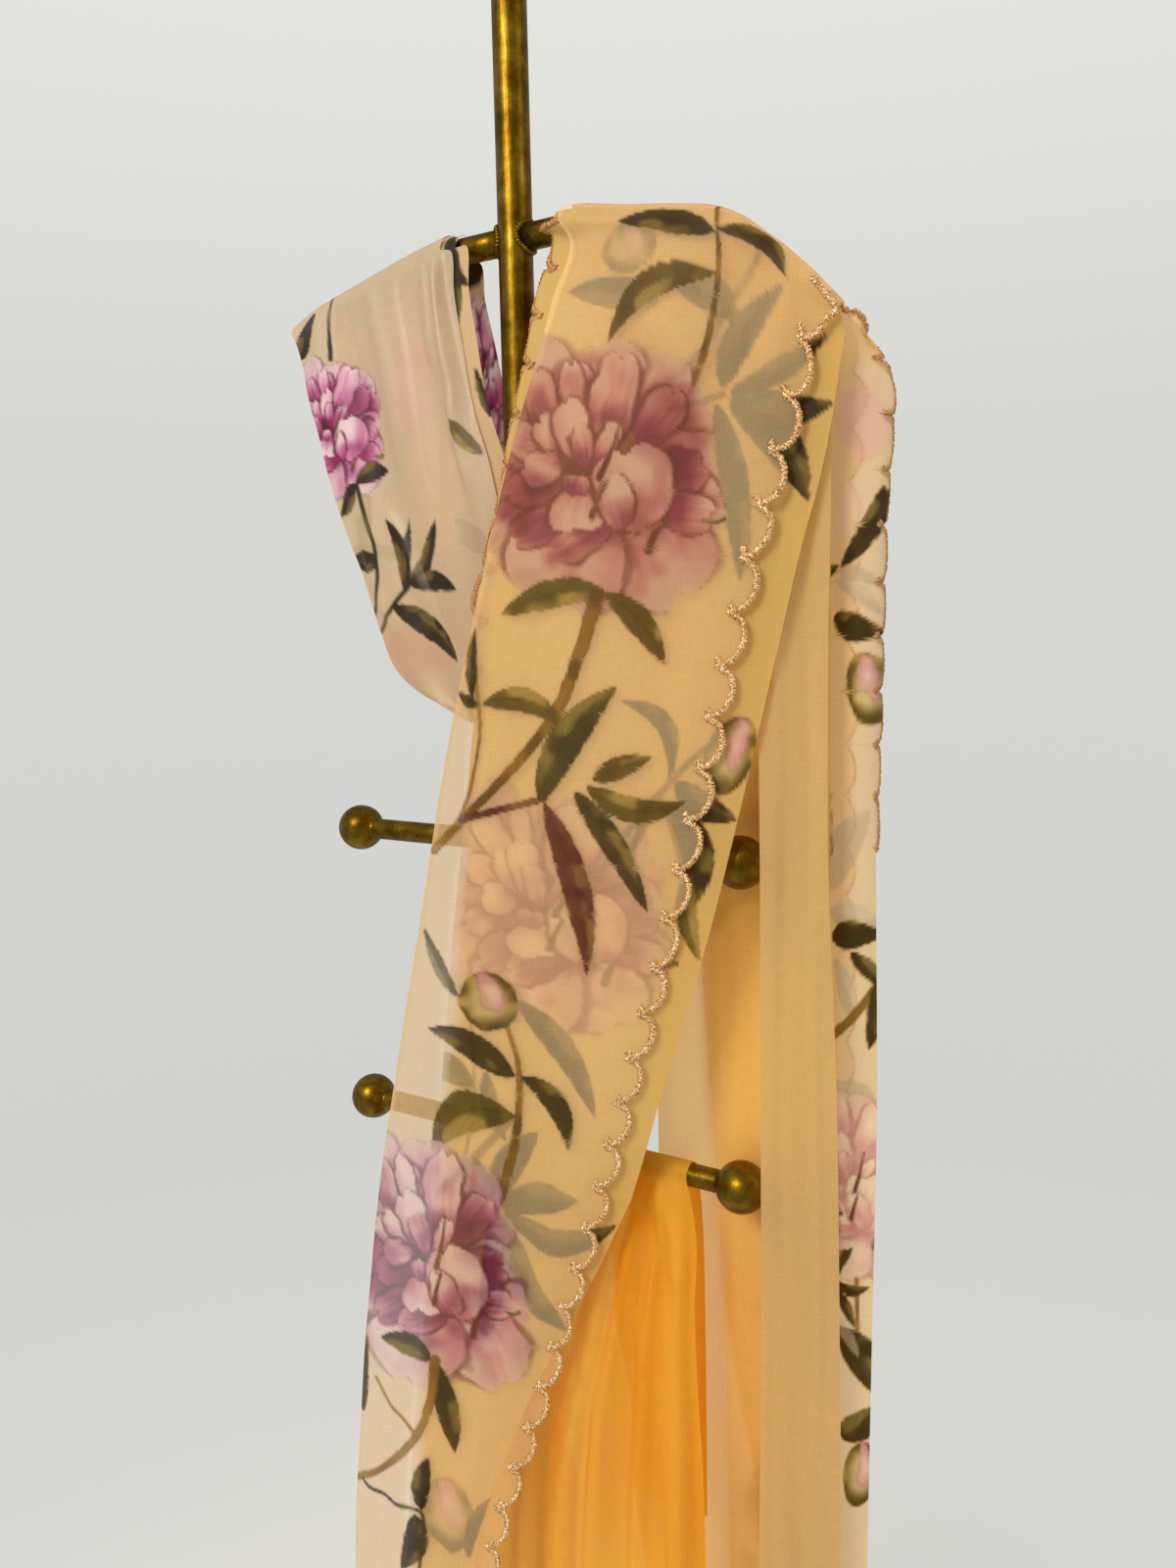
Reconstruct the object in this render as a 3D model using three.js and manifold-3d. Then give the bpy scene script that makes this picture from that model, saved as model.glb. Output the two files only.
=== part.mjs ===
// Printed organza saree hung in layers over a standing peg rack.
// Millimetres, +Z up. The origin is the middle of the base's underside.
// The pegs lie in one upright plane, turned from the X axis. A place in that plane is given by
// "along", the distance from the post towards the near pegs, and by "off", the distance in front
// of the plane (negative is behind it).
import * as THREE from 'three';
import { mergeVertices } from 'three/addons/utils/BufferGeometryUtils.js';
import Module from 'manifold-3d';

const wasm = await Module();
wasm.setup();

// Stand
const PEG_PLANE_TURN = 37.5 * Math.PI / 180;
const SEAT_GAP = 0.3;
const BASE_RADIUS = 190;
const BASE_THICKNESS = 8;
const SOCKET_RADIUS = 26;
const SOCKET_TOP = 46;
const POST_RADIUS = 12.7;
const POST_TOP = 1838;
const FINIAL_RADIUS = 19;
const FINIAL_NECK_RADIUS = 9;
const FINIAL_NECK = 6;
const KNOB_RADIUS = 19;
const KNOB_REACH = 176;
const PEG_RADIUS = 8.5;
const PEG_HEIGHTS = { mid: 1151, low: 911 };
const TOP_ARM = { height: 1596.5, radius: 9.5, level: 58, reach: 158, fall: 0.26 };
const ROD_SIDES = 16;
const POST_SIDES = 24;
const BASE_SIDES = 36;

// Cloth
const CLOTH = 1.2;
const HEM = 70;
const LAYER = 3;
const CREST_SEAM = 0.7;
const SCALLOP_PITCH = 35;
const SCALLOP_DEPTH = 13.5;
const SCALLOP_POINTS = 3;

const BRASS = { color: 0x8a6f2e, roughness: 0.35, metalness: 0.9 };
const PEACH = { color: 0xe3bd8b, roughness: 0.7, metalness: 0 };
const AMBER = { color: 0xe2ae5c, roughness: 0.7, metalness: 0 };
const ORANGE = { color: 0xe09a2b, roughness: 0.7, metalness: 0 };
const CREAM = { color: 0xd9bb92, roughness: 0.6, metalness: 0 };

const saree = new THREE.Group();

function add(name, geometry, finish) {
  const mesh = new THREE.Mesh(geometry, new THREE.MeshStandardMaterial(finish));
  mesh.name = name;
  saree.add(mesh);
}

// Point of the peg plane's own frame, in the part's frame
function inPegPlane(along, off, z) {
  const c = Math.cos(PEG_PLANE_TURN);
  const s = Math.sin(PEG_PLANE_TURN);
  return new THREE.Vector3(along * c - off * s, -along * s - off * c, z);
}

function geometryFrom(points, triangles) {
  const geometry = new THREE.BufferGeometry();
  const numbers = points.flatMap((p) => [p.x, p.y, p.z]);
  geometry.setAttribute('position', new THREE.Float32BufferAttribute(numbers, 3));
  geometry.setIndex(triangles.flat());
  return geometry;
}

// Rod of round rings along a bent line; stations are { along, z, radius }
function rod(stations, direction) {
  const points = [];
  const triangles = [];
  const across = inPegPlane(0, 1, 0);
  stations.forEach(({ along, z, radius }, i) => {
    const before = stations[Math.max(i - 1, 0)];
    const after = stations[Math.min(i + 1, stations.length - 1)];
    const from = inPegPlane(direction * before.along, 0, before.z);
    const way = inPegPlane(direction * after.along, 0, after.z).sub(from).normalize();
    const up = new THREE.Vector3().crossVectors(way, across).normalize();
    for (let k = 0; k < ROD_SIDES; k += 1) {
      const turn = k / ROD_SIDES * 2 * Math.PI;
      points.push(inPegPlane(direction * along, 0, z)
        .addScaledVector(across, radius * Math.cos(turn))
        .addScaledVector(up, radius * Math.sin(turn)));
    }
  });
  const ring = (i, k) => i * ROD_SIDES + (k % ROD_SIDES);
  for (let i = 0; i < stations.length - 1; i += 1) {
    for (let k = 0; k < ROD_SIDES; k += 1) {
      triangles.push([ring(i, k), ring(i, k + 1), ring(i + 1, k)]);
      triangles.push([ring(i, k + 1), ring(i + 1, k + 1), ring(i + 1, k)]);
    }
  }
  const first = stations[0];
  const last = stations[stations.length - 1];
  points.push(inPegPlane(direction * first.along, 0, first.z));
  points.push(inPegPlane(direction * last.along, 0, last.z));
  for (let k = 0; k < ROD_SIDES; k += 1) {
    triangles.push([points.length - 2, ring(0, k + 1), ring(0, k)]);
    triangles.push([points.length - 1, ring(stations.length - 1, k), ring(stations.length - 1, k + 1)]);
  }
  return facingOut(geometryFrom(points, triangles));
}

// Turns a closed surface so that its faces point out
function facingOut(geometry) {
  const place = geometry.getAttribute('position');
  const index = geometry.getIndex().array;
  const a = new THREE.Vector3();
  const b = new THREE.Vector3();
  const c = new THREE.Vector3();
  let volume = 0;
  for (let i = 0; i < index.length; i += 3) {
    a.fromBufferAttribute(place, index[i]);
    b.fromBufferAttribute(place, index[i + 1]);
    c.fromBufferAttribute(place, index[i + 2]);
    volume += a.dot(b.cross(c));
  }
  if (volume < 0) {
    for (let i = 0; i < index.length; i += 3) {
      [index[i + 1], index[i + 2]] = [index[i + 2], index[i + 1]];
    }
  }
  return geometry;
}

// Stations of a rounded end: from the full radius down to a small flat
function roundEnd(along, z, radius, slope) {
  return [30, 60, 85].map((degrees) => {
    const turn = degrees * Math.PI / 180;
    const reach = radius * Math.sin(turn);
    return { along: along + reach, z: z - slope * reach, radius: radius * Math.cos(turn) };
  });
}

function cutByPost(geometry) {
  const radius = POST_RADIUS + SEAT_GAP;
  const post = new THREE.CylinderGeometry(radius, radius, 2 * POST_TOP, POST_SIDES);
  post.rotateX(Math.PI / 2);
  const left = solid(geometry).subtract(solid(post)).getMesh();
  const result = new THREE.BufferGeometry();
  result.setAttribute('position', new THREE.Float32BufferAttribute(left.vertProperties, 3));
  result.setIndex(Array.from(left.triVerts));
  return result;
}

function solid(geometry) {
  const plain = geometry.clone();
  plain.deleteAttribute('normal');
  plain.deleteAttribute('uv');
  const merged = mergeVertices(plain, 0.001);
  return new wasm.Manifold(new wasm.Mesh({
    numProp: 3,
    vertProperties: Float32Array.from(merged.getAttribute('position').array),
    triVerts: Uint32Array.from(merged.getIndex().array),
  }));
}

function lathe(profile, sides) {
  const geometry = new THREE.LatheGeometry(profile.map(([r, z]) => new THREE.Vector2(r, z)), sides);
  geometry.rotateX(Math.PI / 2);
  return geometry;
}

function addStand() {
  const boreRadius = POST_RADIUS + SEAT_GAP;
  add('base', lathe([
    [0, 0], [BASE_RADIUS - 2, 0], [BASE_RADIUS, 2], [BASE_RADIUS, BASE_THICKNESS - 2],
    [BASE_RADIUS - 2, BASE_THICKNESS], [SOCKET_RADIUS, BASE_THICKNESS], [SOCKET_RADIUS, SOCKET_TOP - 2],
    [SOCKET_RADIUS - 2, SOCKET_TOP], [boreRadius, SOCKET_TOP], [boreRadius, BASE_THICKNESS],
    [0, BASE_THICKNESS],
  ], BASE_SIDES), BRASS);

  const postFoot = BASE_THICKNESS + SEAT_GAP;
  const post = new THREE.CylinderGeometry(POST_RADIUS, POST_RADIUS, POST_TOP - postFoot, POST_SIDES);
  post.rotateX(Math.PI / 2);
  post.translate(0, 0, (POST_TOP + postFoot) / 2);
  add('post', post, BRASS);

  const neckFoot = POST_TOP + SEAT_GAP;
  const ballMiddle = neckFoot + FINIAL_NECK + Math.sqrt(FINIAL_RADIUS ** 2 - FINIAL_NECK_RADIUS ** 2);
  const start = -Math.acos(FINIAL_NECK_RADIUS / FINIAL_RADIUS);
  const ball = [];
  for (let i = 0; i <= 8; i += 1) {
    const turn = start + (Math.PI / 2 - start) * i / 8;
    ball.push([i === 8 ? 0 : FINIAL_RADIUS * Math.cos(turn), ballMiddle + FINIAL_RADIUS * Math.sin(turn)]);
  }
  add('finial', lathe([[0, neckFoot], [FINIAL_NECK_RADIUS, neckFoot], ...ball], POST_SIDES), BRASS);

  for (const [side, direction] of [['near', 1], ['far', -1]]) {
    const { height, radius, level, reach, fall } = TOP_ARM;
    const tipZ = height - fall * (reach - level);
    add(`top_arm_${side}`, cutByPost(rod([
      { along: 0, z: height, radius },
      { along: level - 8, z: height, radius },
      { along: level + 8, z: height - fall * 8, radius },
      { along: reach, z: tipZ, radius },
      ...roundEnd(reach, tipZ, radius, fall),
    ], direction)), BRASS);
    for (const [tier, z] of Object.entries(PEG_HEIGHTS)) {
      add(`peg_${tier}_${side}`, cutByPost(rod(pegStations(z), direction)), BRASS);
    }
  }
}

// Straight peg with a ball turned on its end
function pegStations(z) {
  const neck = Math.asin(PEG_RADIUS / KNOB_RADIUS);
  const stations = [{ along: 0, z, radius: PEG_RADIUS }];
  const steps = 8;
  for (let i = 0; i <= steps; i += 1) {
    const turn = neck + (Math.PI * 0.97 - neck) * i / steps;
    const along = KNOB_REACH - KNOB_RADIUS * Math.cos(turn);
    stations.push({ along, z, radius: KNOB_RADIUS * Math.sin(turn) });
  }
  return stations;
}

// A cloth stretch is a family of smooth columns. Each column passes through one point of every
// row; a row is a function of the share across the cloth, 0 at its left edge and 1 at its right.
function drape(rows) {
  const columns = new Map();
  return (across, row) => {
    const key = across.toFixed(5);
    if (!columns.has(key)) {
      columns.set(key, new THREE.CatmullRomCurve3(rows.map((at) => at(across)), false, 'centripetal'));
    }
    return columns.get(key).getPoint(Math.min(row / (rows.length - 1), 1));
  };
}

// Value of a table's column at a place, between its rows
function fromTable(table, place, column, at) {
  const found = table.findIndex((row) => row[place] >= at);
  const after = found < 0 ? table.length - 1 : Math.max(found, 1);
  const [a, b] = [table[after - 1], table[after]];
  const share = Math.min(Math.max((at - a[place]) / (b[place] - a[place]), 0), 1);
  return a[column] + share * (b[column] - a[column]);
}

// Row numbers at which the edge has run on by one pitch each, after the rows over the crest
function rowsByPitch(surface, edge, rowCount, pitch, crestRowCount) {
  const stops = Array.from({ length: crestRowCount }, (_, row) => row);
  const step = 0.02;
  const start = Math.max(crestRowCount - 1, 0);
  let run = 0;
  let last = surface(edge(start), start);
  for (let row = start + step; row <= rowCount - 1; row += step) {
    const here = surface(edge(row), row);
    run += here.distanceTo(last);
    last = here;
    if (run >= pitch) {
      stops.push(row);
      run = 0;
    }
  }
  return [...stops, rowCount - 1];
}

// Cloth wall: the middle surface between two edges, with lobes on a scalloped one, made thick
function clothWall({ surface, stops, left, right, cells, scalloped }) {
  const points = [];
  const triangles = [];
  const width = cells + 1;
  stops.forEach((row) => {
    for (let k = 0; k <= cells; k += 1) {
      points.push(surface(left(row) + (right(row) - left(row)) * k / cells, row));
    }
  });
  for (let i = 0; i < stops.length - 1; i += 1) {
    for (let k = 0; k < cells; k += 1) {
      const corner = i * width + k;
      triangles.push([corner, corner + width, corner + 1]);
      triangles.push([corner + 1, corner + width, corner + width + 1]);
    }
    if (scalloped && i >= CREST_TURNS.length - 1) {
      const edge = scalloped === 'right' ? right : left;
      const arc = lobePoints(surface, edge, stops[i], stops[i + 1], scalloped === 'right' ? 1 : -1);
      const at = scalloped === 'right' ? cells : 0;
      addFan(points, triangles, i * width + at, (i + 1) * width + at, arc, scalloped === 'right');
    }
  }
  return thicken(points, triangles);
}

// Outline of one scallop: a half-round arc that swings out past the edge along the surface
function lobePoints(surface, edge, from, to, side) {
  return Array.from({ length: SCALLOP_POINTS }, (_, k) => {
    const turn = Math.PI * (k + 1) / (SCALLOP_POINTS + 1);
    const row = from + (to - from) * (1 - Math.cos(turn)) / 2;
    const chord = surface(0, row).distanceTo(surface(1, row));
    return surface(edge(row) + side * SCALLOP_DEPTH * Math.sin(turn) / chord, row);
  });
}

function addFan(points, triangles, from, to, arc, flip) {
  const ends = [from, ...arc.map((_, k) => points.length + k), to];
  points.push(...arc);
  for (let k = 1; k < ends.length - 1; k += 1) {
    triangles.push(flip ? [from, ends[k + 1], ends[k]] : [from, ends[k], ends[k + 1]]);
  }
}

// Gives a surface its thickness along the points' normals and closes it along its open edges
function thicken(points, triangles) {
  const normals = points.map(() => new THREE.Vector3());
  const rim = new Map();
  for (const triangle of triangles) {
    const [a, b, c] = triangle.map((k) => points[k]);
    const normal = new THREE.Vector3().crossVectors(b.clone().sub(a), c.clone().sub(a));
    triangle.forEach((k) => normals[k].add(normal));
    triangle.forEach((k, i) => {
      const next = triangle[(i + 1) % 3];
      if (!rim.delete(`${next},${k}`)) {
        rim.set(`${k},${next}`, [k, next]);
      }
    });
  }
  normals.forEach((normal) => normal.normalize());
  const count = points.length;
  const side = (offset) => points.map((p, k) => p.clone().addScaledVector(normals[k], offset));
  const both = [...side(CLOTH / 2), ...side(-CLOTH / 2)];
  const faces = triangles.flatMap(([a, b, c]) => [[a, b, c], [a + count, c + count, b + count]]);
  for (const [a, b] of rim.values()) {
    faces.push([b, a, a + count]);
    faces.push([b, a + count, b + count]);
  }
  return facingOut(geometryFrom(both, faces));
}

// Crest of the cloth over a top arm, and over the empty ridge past the arm's end
const NEAR_CREST = [
  { along: 48, z: 1611.5, radius: 17 },
  { along: 60, z: 1610.5, radius: 17 },
  { along: 94, z: 1603, radius: 17 },
  { along: 124, z: 1598, radius: 17 },
  { along: 153, z: 1592, radius: 17 },
  { along: 167, z: 1587, radius: 16 },
  { along: 181, z: 1579, radius: 15 },
  { along: 208, z: 1557, radius: 12 },
  { along: 228, z: 1538, radius: 10 },
  { along: 247, z: 1517, radius: 7 },
];
const FAR_CREST = [
  { along: -219, z: 1568, radius: 9 },
  { along: -202, z: 1575, radius: 12 },
  { along: -186, z: 1580, radius: 15 },
  { along: -161, z: 1586, radius: 17 },
  { along: -109, z: 1599, radius: 17 },
  { along: -87, z: 1604, radius: 17 },
  { along: -56, z: 1609.8, radius: 17 },
];
// Turns round the crest, in degrees, at which a layer has a row
const CREST_TURNS = [0, 40, 80];

// Rows that wrap a layer over a crest; side is 1 in front and -1 behind, inset is for an inner layer
function crestRows(crest, side, inset) {
  const [first, last] = [crest[0].along, crest[crest.length - 1].along];
  return CREST_TURNS.map((degrees) => (across) => {
    const along = first + (last - first) * across;
    const turn = degrees * Math.PI / 180;
    const outer = fromTable(crest, 'along', 'radius', Math.min(Math.max(along, first), last));
    const z = fromTable(crest, 'along', 'z', Math.min(Math.max(along, first), last));
    const radius = outer - inset;
    const off = side * (CREST_SEAM / 2 + radius * Math.sin(turn));
    return inPegPlane(along, off, z - outer + radius * Math.cos(turn));
  });
}

// The crest is higher and fuller in its middle; the first rows of a fall still follow it
const CREST_RISE = [24, 14, 7, 3];
const CREST_BULGE = [6, 6, 4, 2];
const atFallStart = (list, i) => (i < list.length ? list[i] : 0);

const between = (a, b, share) => a + (b - a) * share;
const always = (value) => () => value;
// Soft fold: a smooth bump of a given width round a place across the cloth
function fold(across, at, width, depth) {
  const reach = Math.min(Math.abs(across - at) / width, 1);
  return depth * (1 + Math.cos(Math.PI * reach)) / 2;
}
// Value of a list at a row number, between its items
function atRow(list, row) {
  const low = Math.min(Math.floor(row), list.length - 2);
  return between(list[low], list[low + 1], row - low);
}

// Front fall of the two printed layers. Left is the outer layer's left fold and right is the
// under layer's right fold; outer is where the outer layer's scalloped edge lies between them,
// under where the under layer's scalloped edge does, and both are shares of the width.
const FRONT_FALL = [
  { leftX: 35, leftY: -46, leftZ: 1582, rightX: 194, rightY: -155, rightZ: 1499, outer: 0.89, under: -0.06 },
  { leftX: 21, leftY: -56, leftZ: 1540, rightX: 191, rightY: -152, rightZ: 1470, outer: 0.86, under: -0.05 },
  { leftX: 9, leftY: -61, leftZ: 1500, rightX: 187, rightY: -150, rightZ: 1440, outer: 0.85, under: -0.03 },
  { leftX: -7, leftY: -62, leftZ: 1450, rightX: 180, rightY: -148, rightZ: 1405, outer: 0.84, under: -0.01 },
  { leftX: -21, leftY: -62, leftZ: 1400, rightX: 169, rightY: -147, rightZ: 1365, outer: 0.84, under: 0.01 },
  { leftX: -46, leftY: -54, leftZ: 1300, rightX: 151, rightY: -143, rightZ: 1285, outer: 0.84, under: 0.04 },
  { leftX: -68, leftY: -44, leftZ: 1200, rightX: 131, rightY: -137, rightZ: 1195, outer: 0.85, under: 0.09 },
  { leftX: -87, leftY: -34, leftZ: 1100, rightX: 109, rightY: -128, rightZ: 1100, outer: 0.85, under: 0.12 },
  { leftX: -107, leftY: -26, leftZ: 1000, rightX: 82, rightY: -115, rightZ: 1000, outer: 0.86, under: 0.17 },
  { leftX: -125, leftY: -20, leftZ: 900, rightX: 57, rightY: -98, rightZ: 900, outer: 0.86, under: 0.22 },
  { leftX: -139, leftY: -16, leftZ: 800, rightX: 25, rightY: -81, rightZ: 800, outer: 0.87, under: 0.26 },
  { leftX: -150, leftY: -12, leftZ: 700, rightX: -20, rightY: -66, rightZ: 700, outer: 0.97, under: 0.33 },
  { leftX: -159, leftY: -10, leftZ: 600, rightX: -55, rightY: -58, rightZ: 600, outer: 1.0, under: 0.42 },
  { leftX: -167, leftY: -8, leftZ: 400, rightX: -82, rightY: -50, rightZ: 400, outer: 1.0, under: 0.46 },
  { leftX: -170, leftY: -6, leftZ: HEM, rightX: -88, rightY: -46, rightZ: HEM, outer: 1.0, under: 0.48 },
];
// Soft folds of the front fall, as shares of its width; depth is forwards
const FRONT_FOLDS = [
  { at: 0.12, width: 0.14, depth: 3 },
  { at: 0.42, width: 0.3, depth: 7 },
  { at: 0.78, width: 0.16, depth: 3 },
];
// Below the crest the two layers hang further apart than on it
const FRONT_LAYER_SPREAD = 1.8;
const CREST_OUTER_EDGE = 0.97;
const CREST_UNDER_EDGE = -0.03;
const UNDER_FOLD_INSIDE = 0.92;
const UNDER_FOLD_HIDES = 12;
const UNDER_FOLD_DRAW_IN = 0.06;

function frontRows(inset) {
  const fall = FRONT_FALL.map((row, i) => (across) => {
    const point = new THREE.Vector3(
      between(row.leftX, row.rightX, across),
      between(row.leftY, row.rightY, across),
      between(row.leftZ, row.rightZ, across),
    );
    const middle = Math.sin(Math.PI * Math.min(Math.max(across, 0), 1));
    point.z += atFallStart(CREST_RISE, i) * middle;
    point.y -= atFallStart(CREST_BULGE, i) * middle;
    const forward = FRONT_FOLDS.reduce((sum, f) => sum + fold(across, f.at, f.width, f.depth), 0);
    return point.add(inPegPlane(0, forward - FRONT_LAYER_SPREAD * inset, 0));
  });
  return [...crestRows(NEAR_CREST, 1, inset), ...fall];
}
function addFrontFall() {
  const rowCount = CREST_TURNS.length + FRONT_FALL.length;
  const crest = CREST_TURNS.map(() => 0);
  const outerEdges = [...crest.map(always(CREST_OUTER_EDGE)), ...FRONT_FALL.map((row) => row.outer)];
  const underEdges = [...crest.map(always(CREST_UNDER_EDGE)), ...FRONT_FALL.map((row) => row.under)];
  const outerEdge = (row) => atRow(outerEdges, row);
  const underEdge = (row) => atRow(underEdges, row);
  // Low down the under layer's fold lies just inside the outer layer's edge
  const underFold = (row) => {
    const below = Math.max(row - UNDER_FOLD_HIDES, 0);
    return Math.max(UNDER_FOLD_INSIDE, 1 - UNDER_FOLD_DRAW_IN * below);
  };

  const outer = drape(frontRows(0));
  add('pallu_outer_front', clothWall({
    surface: outer,
    stops: rowsByPitch(outer, outerEdge, rowCount, SCALLOP_PITCH, CREST_TURNS.length),
    left: always(0),
    right: outerEdge,
    cells: 9,
    scalloped: 'right',
  }), PEACH);

  const under = drape(frontRows(LAYER));
  add('pallu_under_front', clothWall({
    surface: under,
    stops: rowsByPitch(under, underEdge, rowCount, SCALLOP_PITCH, CREST_TURNS.length),
    left: underEdge,
    right: underFold,
    cells: 9,
    scalloped: 'left',
  }), PEACH);
}

// Plain band in front of the near knobs, hung from the end of the ridge
const BAND_FALL = [
  { leftX: 171, leftY: -136.2, rightX: 189, rightY: -143.4, z: 1505 },
  { leftX: 160, leftY: -122, rightX: 193, rightY: -138, z: 1470 },
  { leftX: 150, leftY: -125, rightX: 193, rightY: -139, z: 1400 },
  { leftX: 147, leftY: -129, rightX: 191, rightY: -142, z: 1300 },
  { leftX: 147, leftY: -133, rightX: 191, rightY: -145, z: 1150 },
  { leftX: 147, leftY: -134, rightX: 197, rightY: -147, z: 1000 },
  { leftX: 147, leftY: -134, rightX: 201, rightY: -147, z: 800 },
  { leftX: 145, leftY: -134, rightX: 204, rightY: -146, z: 600 },
  { leftX: 143, leftY: -133, rightX: 206, rightY: -145, z: 350 },
  { leftX: 142, leftY: -132, rightX: 207, rightY: -144, z: HEM },
];
const BAND_FOLD = { at: 0.55, width: 0.4, depth: 3 };

function addBand() {
  const surface = drape(BAND_FALL.map((row) => (across) => new THREE.Vector3(
    between(row.leftX, row.rightX, across),
    between(row.leftY, row.rightY, across) + fold(across, BAND_FOLD.at, BAND_FOLD.width, BAND_FOLD.depth),
    row.z,
  )));
  add('body_band_front', clothWall({
    surface,
    stops: rowsByPitch(surface, always(0.5), BAND_FALL.length, 2 * SCALLOP_PITCH, 1),
    left: always(0),
    right: always(1),
    cells: 4,
  }), AMBER);
}

// Back falls, in the peg plane's frame: the printed outer one and the plain inner one
const BACK_FALL = [
  { left: 48, leftOff: -18, leftZ: 1585, right: 251, rightOff: -11, rightZ: 1505 },
  { left: 51, leftOff: -23, leftZ: 1550, right: 259, rightOff: -19, rightZ: 1490 },
  { left: 56, leftOff: -28, leftZ: 1510, right: 263, rightOff: -27, rightZ: 1468 },
  { left: 66, leftOff: -31, leftZ: 1460, right: 260, rightOff: -31, rightZ: 1438 },
  { left: 79, leftOff: -32, leftZ: 1410, right: 257, rightOff: -32, rightZ: 1400 },
  { left: 101, leftOff: -33, leftZ: 1300, right: 255, rightOff: -33, rightZ: 1300 },
  { left: 117, leftOff: -33, leftZ: 1200, right: 254, rightOff: -33, rightZ: 1200 },
  { left: 132, leftOff: -33, leftZ: 1000, right: 254, rightOff: -33, rightZ: 1000 },
  { left: 146, leftOff: -33, leftZ: 800, right: 254, rightOff: -33, rightZ: 800 },
  { left: 151, leftOff: -33, leftZ: 600, right: 253, rightOff: -33, rightZ: 600 },
  { left: 152, leftOff: -33, leftZ: HEM, right: 252, rightOff: -33, rightZ: HEM },
];
const INNER_FALL = [
  { left: 49, leftOff: -14.5, leftZ: 1583, right: 246, rightOff: -7, rightZ: 1502 },
  { left: 51, leftOff: -18, leftZ: 1548, right: 249, rightOff: -12, rightZ: 1488 },
  { left: 54, leftOff: -22, leftZ: 1508, right: 251, rightOff: -20, rightZ: 1467 },
  { left: 60, leftOff: -25, leftZ: 1460, right: 250, rightOff: -24.5, rightZ: 1438 },
  { left: 66, leftOff: -26, leftZ: 1410, right: 249, rightOff: -26, rightZ: 1400 },
  { left: 78, leftOff: -26.5, leftZ: 1300, right: 248, rightOff: -26.5, rightZ: 1300 },
  { left: 88, leftOff: -26.5, leftZ: 1200, right: 247, rightOff: -26.5, rightZ: 1200 },
  { left: 97, leftOff: -26.5, leftZ: 1000, right: 247, rightOff: -26.5, rightZ: 1000 },
  { left: 101, leftOff: -26.5, leftZ: 800, right: 247, rightOff: -26.5, rightZ: 800 },
  { left: 104, leftOff: -26.5, leftZ: 600, right: 246, rightOff: -26.5, rightZ: 600 },
  { left: 104, leftOff: -26.5, leftZ: HEM, right: 245, rightOff: -26.5, rightZ: HEM },
];
// Hanging ripples that both back falls share
const BACK_RIPPLE = { pitch: 46, start: 96, depth: 3 };

function backRows(fall, inset) {
  const rows = fall.map((row, i) => (across) => {
    const along = between(row.left, row.right, across);
    const middle = Math.sin(Math.PI * across);
    const z = between(row.leftZ, row.rightZ, across) + atFallStart(CREST_RISE, i) * middle;
    const ease = Math.min(i / 5, 1);
    const ripple = Math.sin((along - BACK_RIPPLE.start) / BACK_RIPPLE.pitch * 2 * Math.PI);
    const off = between(row.leftOff, row.rightOff, across) + BACK_RIPPLE.depth * ease * ripple
      - atFallStart(CREST_BULGE, i) * middle;
    return inPegPlane(along, off, z);
  });
  return [...crestRows(NEAR_CREST, -1, inset), ...rows];
}

function addBackFalls() {
  const rowCount = CREST_TURNS.length + BACK_FALL.length;
  const back = drape(backRows(BACK_FALL, 0));
  add('pallu_back', clothWall({
    surface: back,
    stops: rowsByPitch(back, always(1), rowCount, SCALLOP_PITCH, CREST_TURNS.length),
    left: always(0),
    right: always(1),
    cells: 8,
    scalloped: 'right',
  }), PEACH);

  const inner = drape(backRows(INNER_FALL, LAYER));
  add('body_inner', clothWall({
    surface: inner,
    stops: rowsByPitch(inner, always(0.5), rowCount, 1.5 * SCALLOP_PITCH, CREST_TURNS.length),
    left: always(0),
    right: always(1),
    cells: 8,
  }), AMBER);
}

// Orange bunch gathered over the low near peg; rows run from its short back over the peg to the hem
const BUNCH_CREST = { left: 60, right: 136, radius: 9.7 };
const BUNCH_BACK = [
  { left: 50, right: 138, z: 620, off: -16.5 },
  { left: 54, right: 138, z: 760, off: -16.5 },
  { left: 58, right: 137, z: 870, off: -15 },
];
const BUNCH_FRONT = [
  { left: 52, right: 142, z: 900, off: 15, wave: 1.5 },
  { left: 40, right: 148, z: 868, off: 18, wave: 3 },
  { left: 20, right: 148, z: 820, off: 22, wave: 5 },
  { left: -5, right: 151, z: 760, off: 25, wave: 6.5 },
  { left: -32, right: 156, z: 690, off: 27, wave: 8 },
  { left: -52, right: 158, z: 600, off: 28, wave: 9 },
  { left: -66, right: 160, z: 350, off: 29, wave: 10 },
  { left: -70, right: 160, z: HEM, off: 29, wave: 10 },
];
const BUNCH_TURNS = [-90, -60, -30, 0, 30, 60, 90];
const BUNCH_GATHERS = 6;

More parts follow.
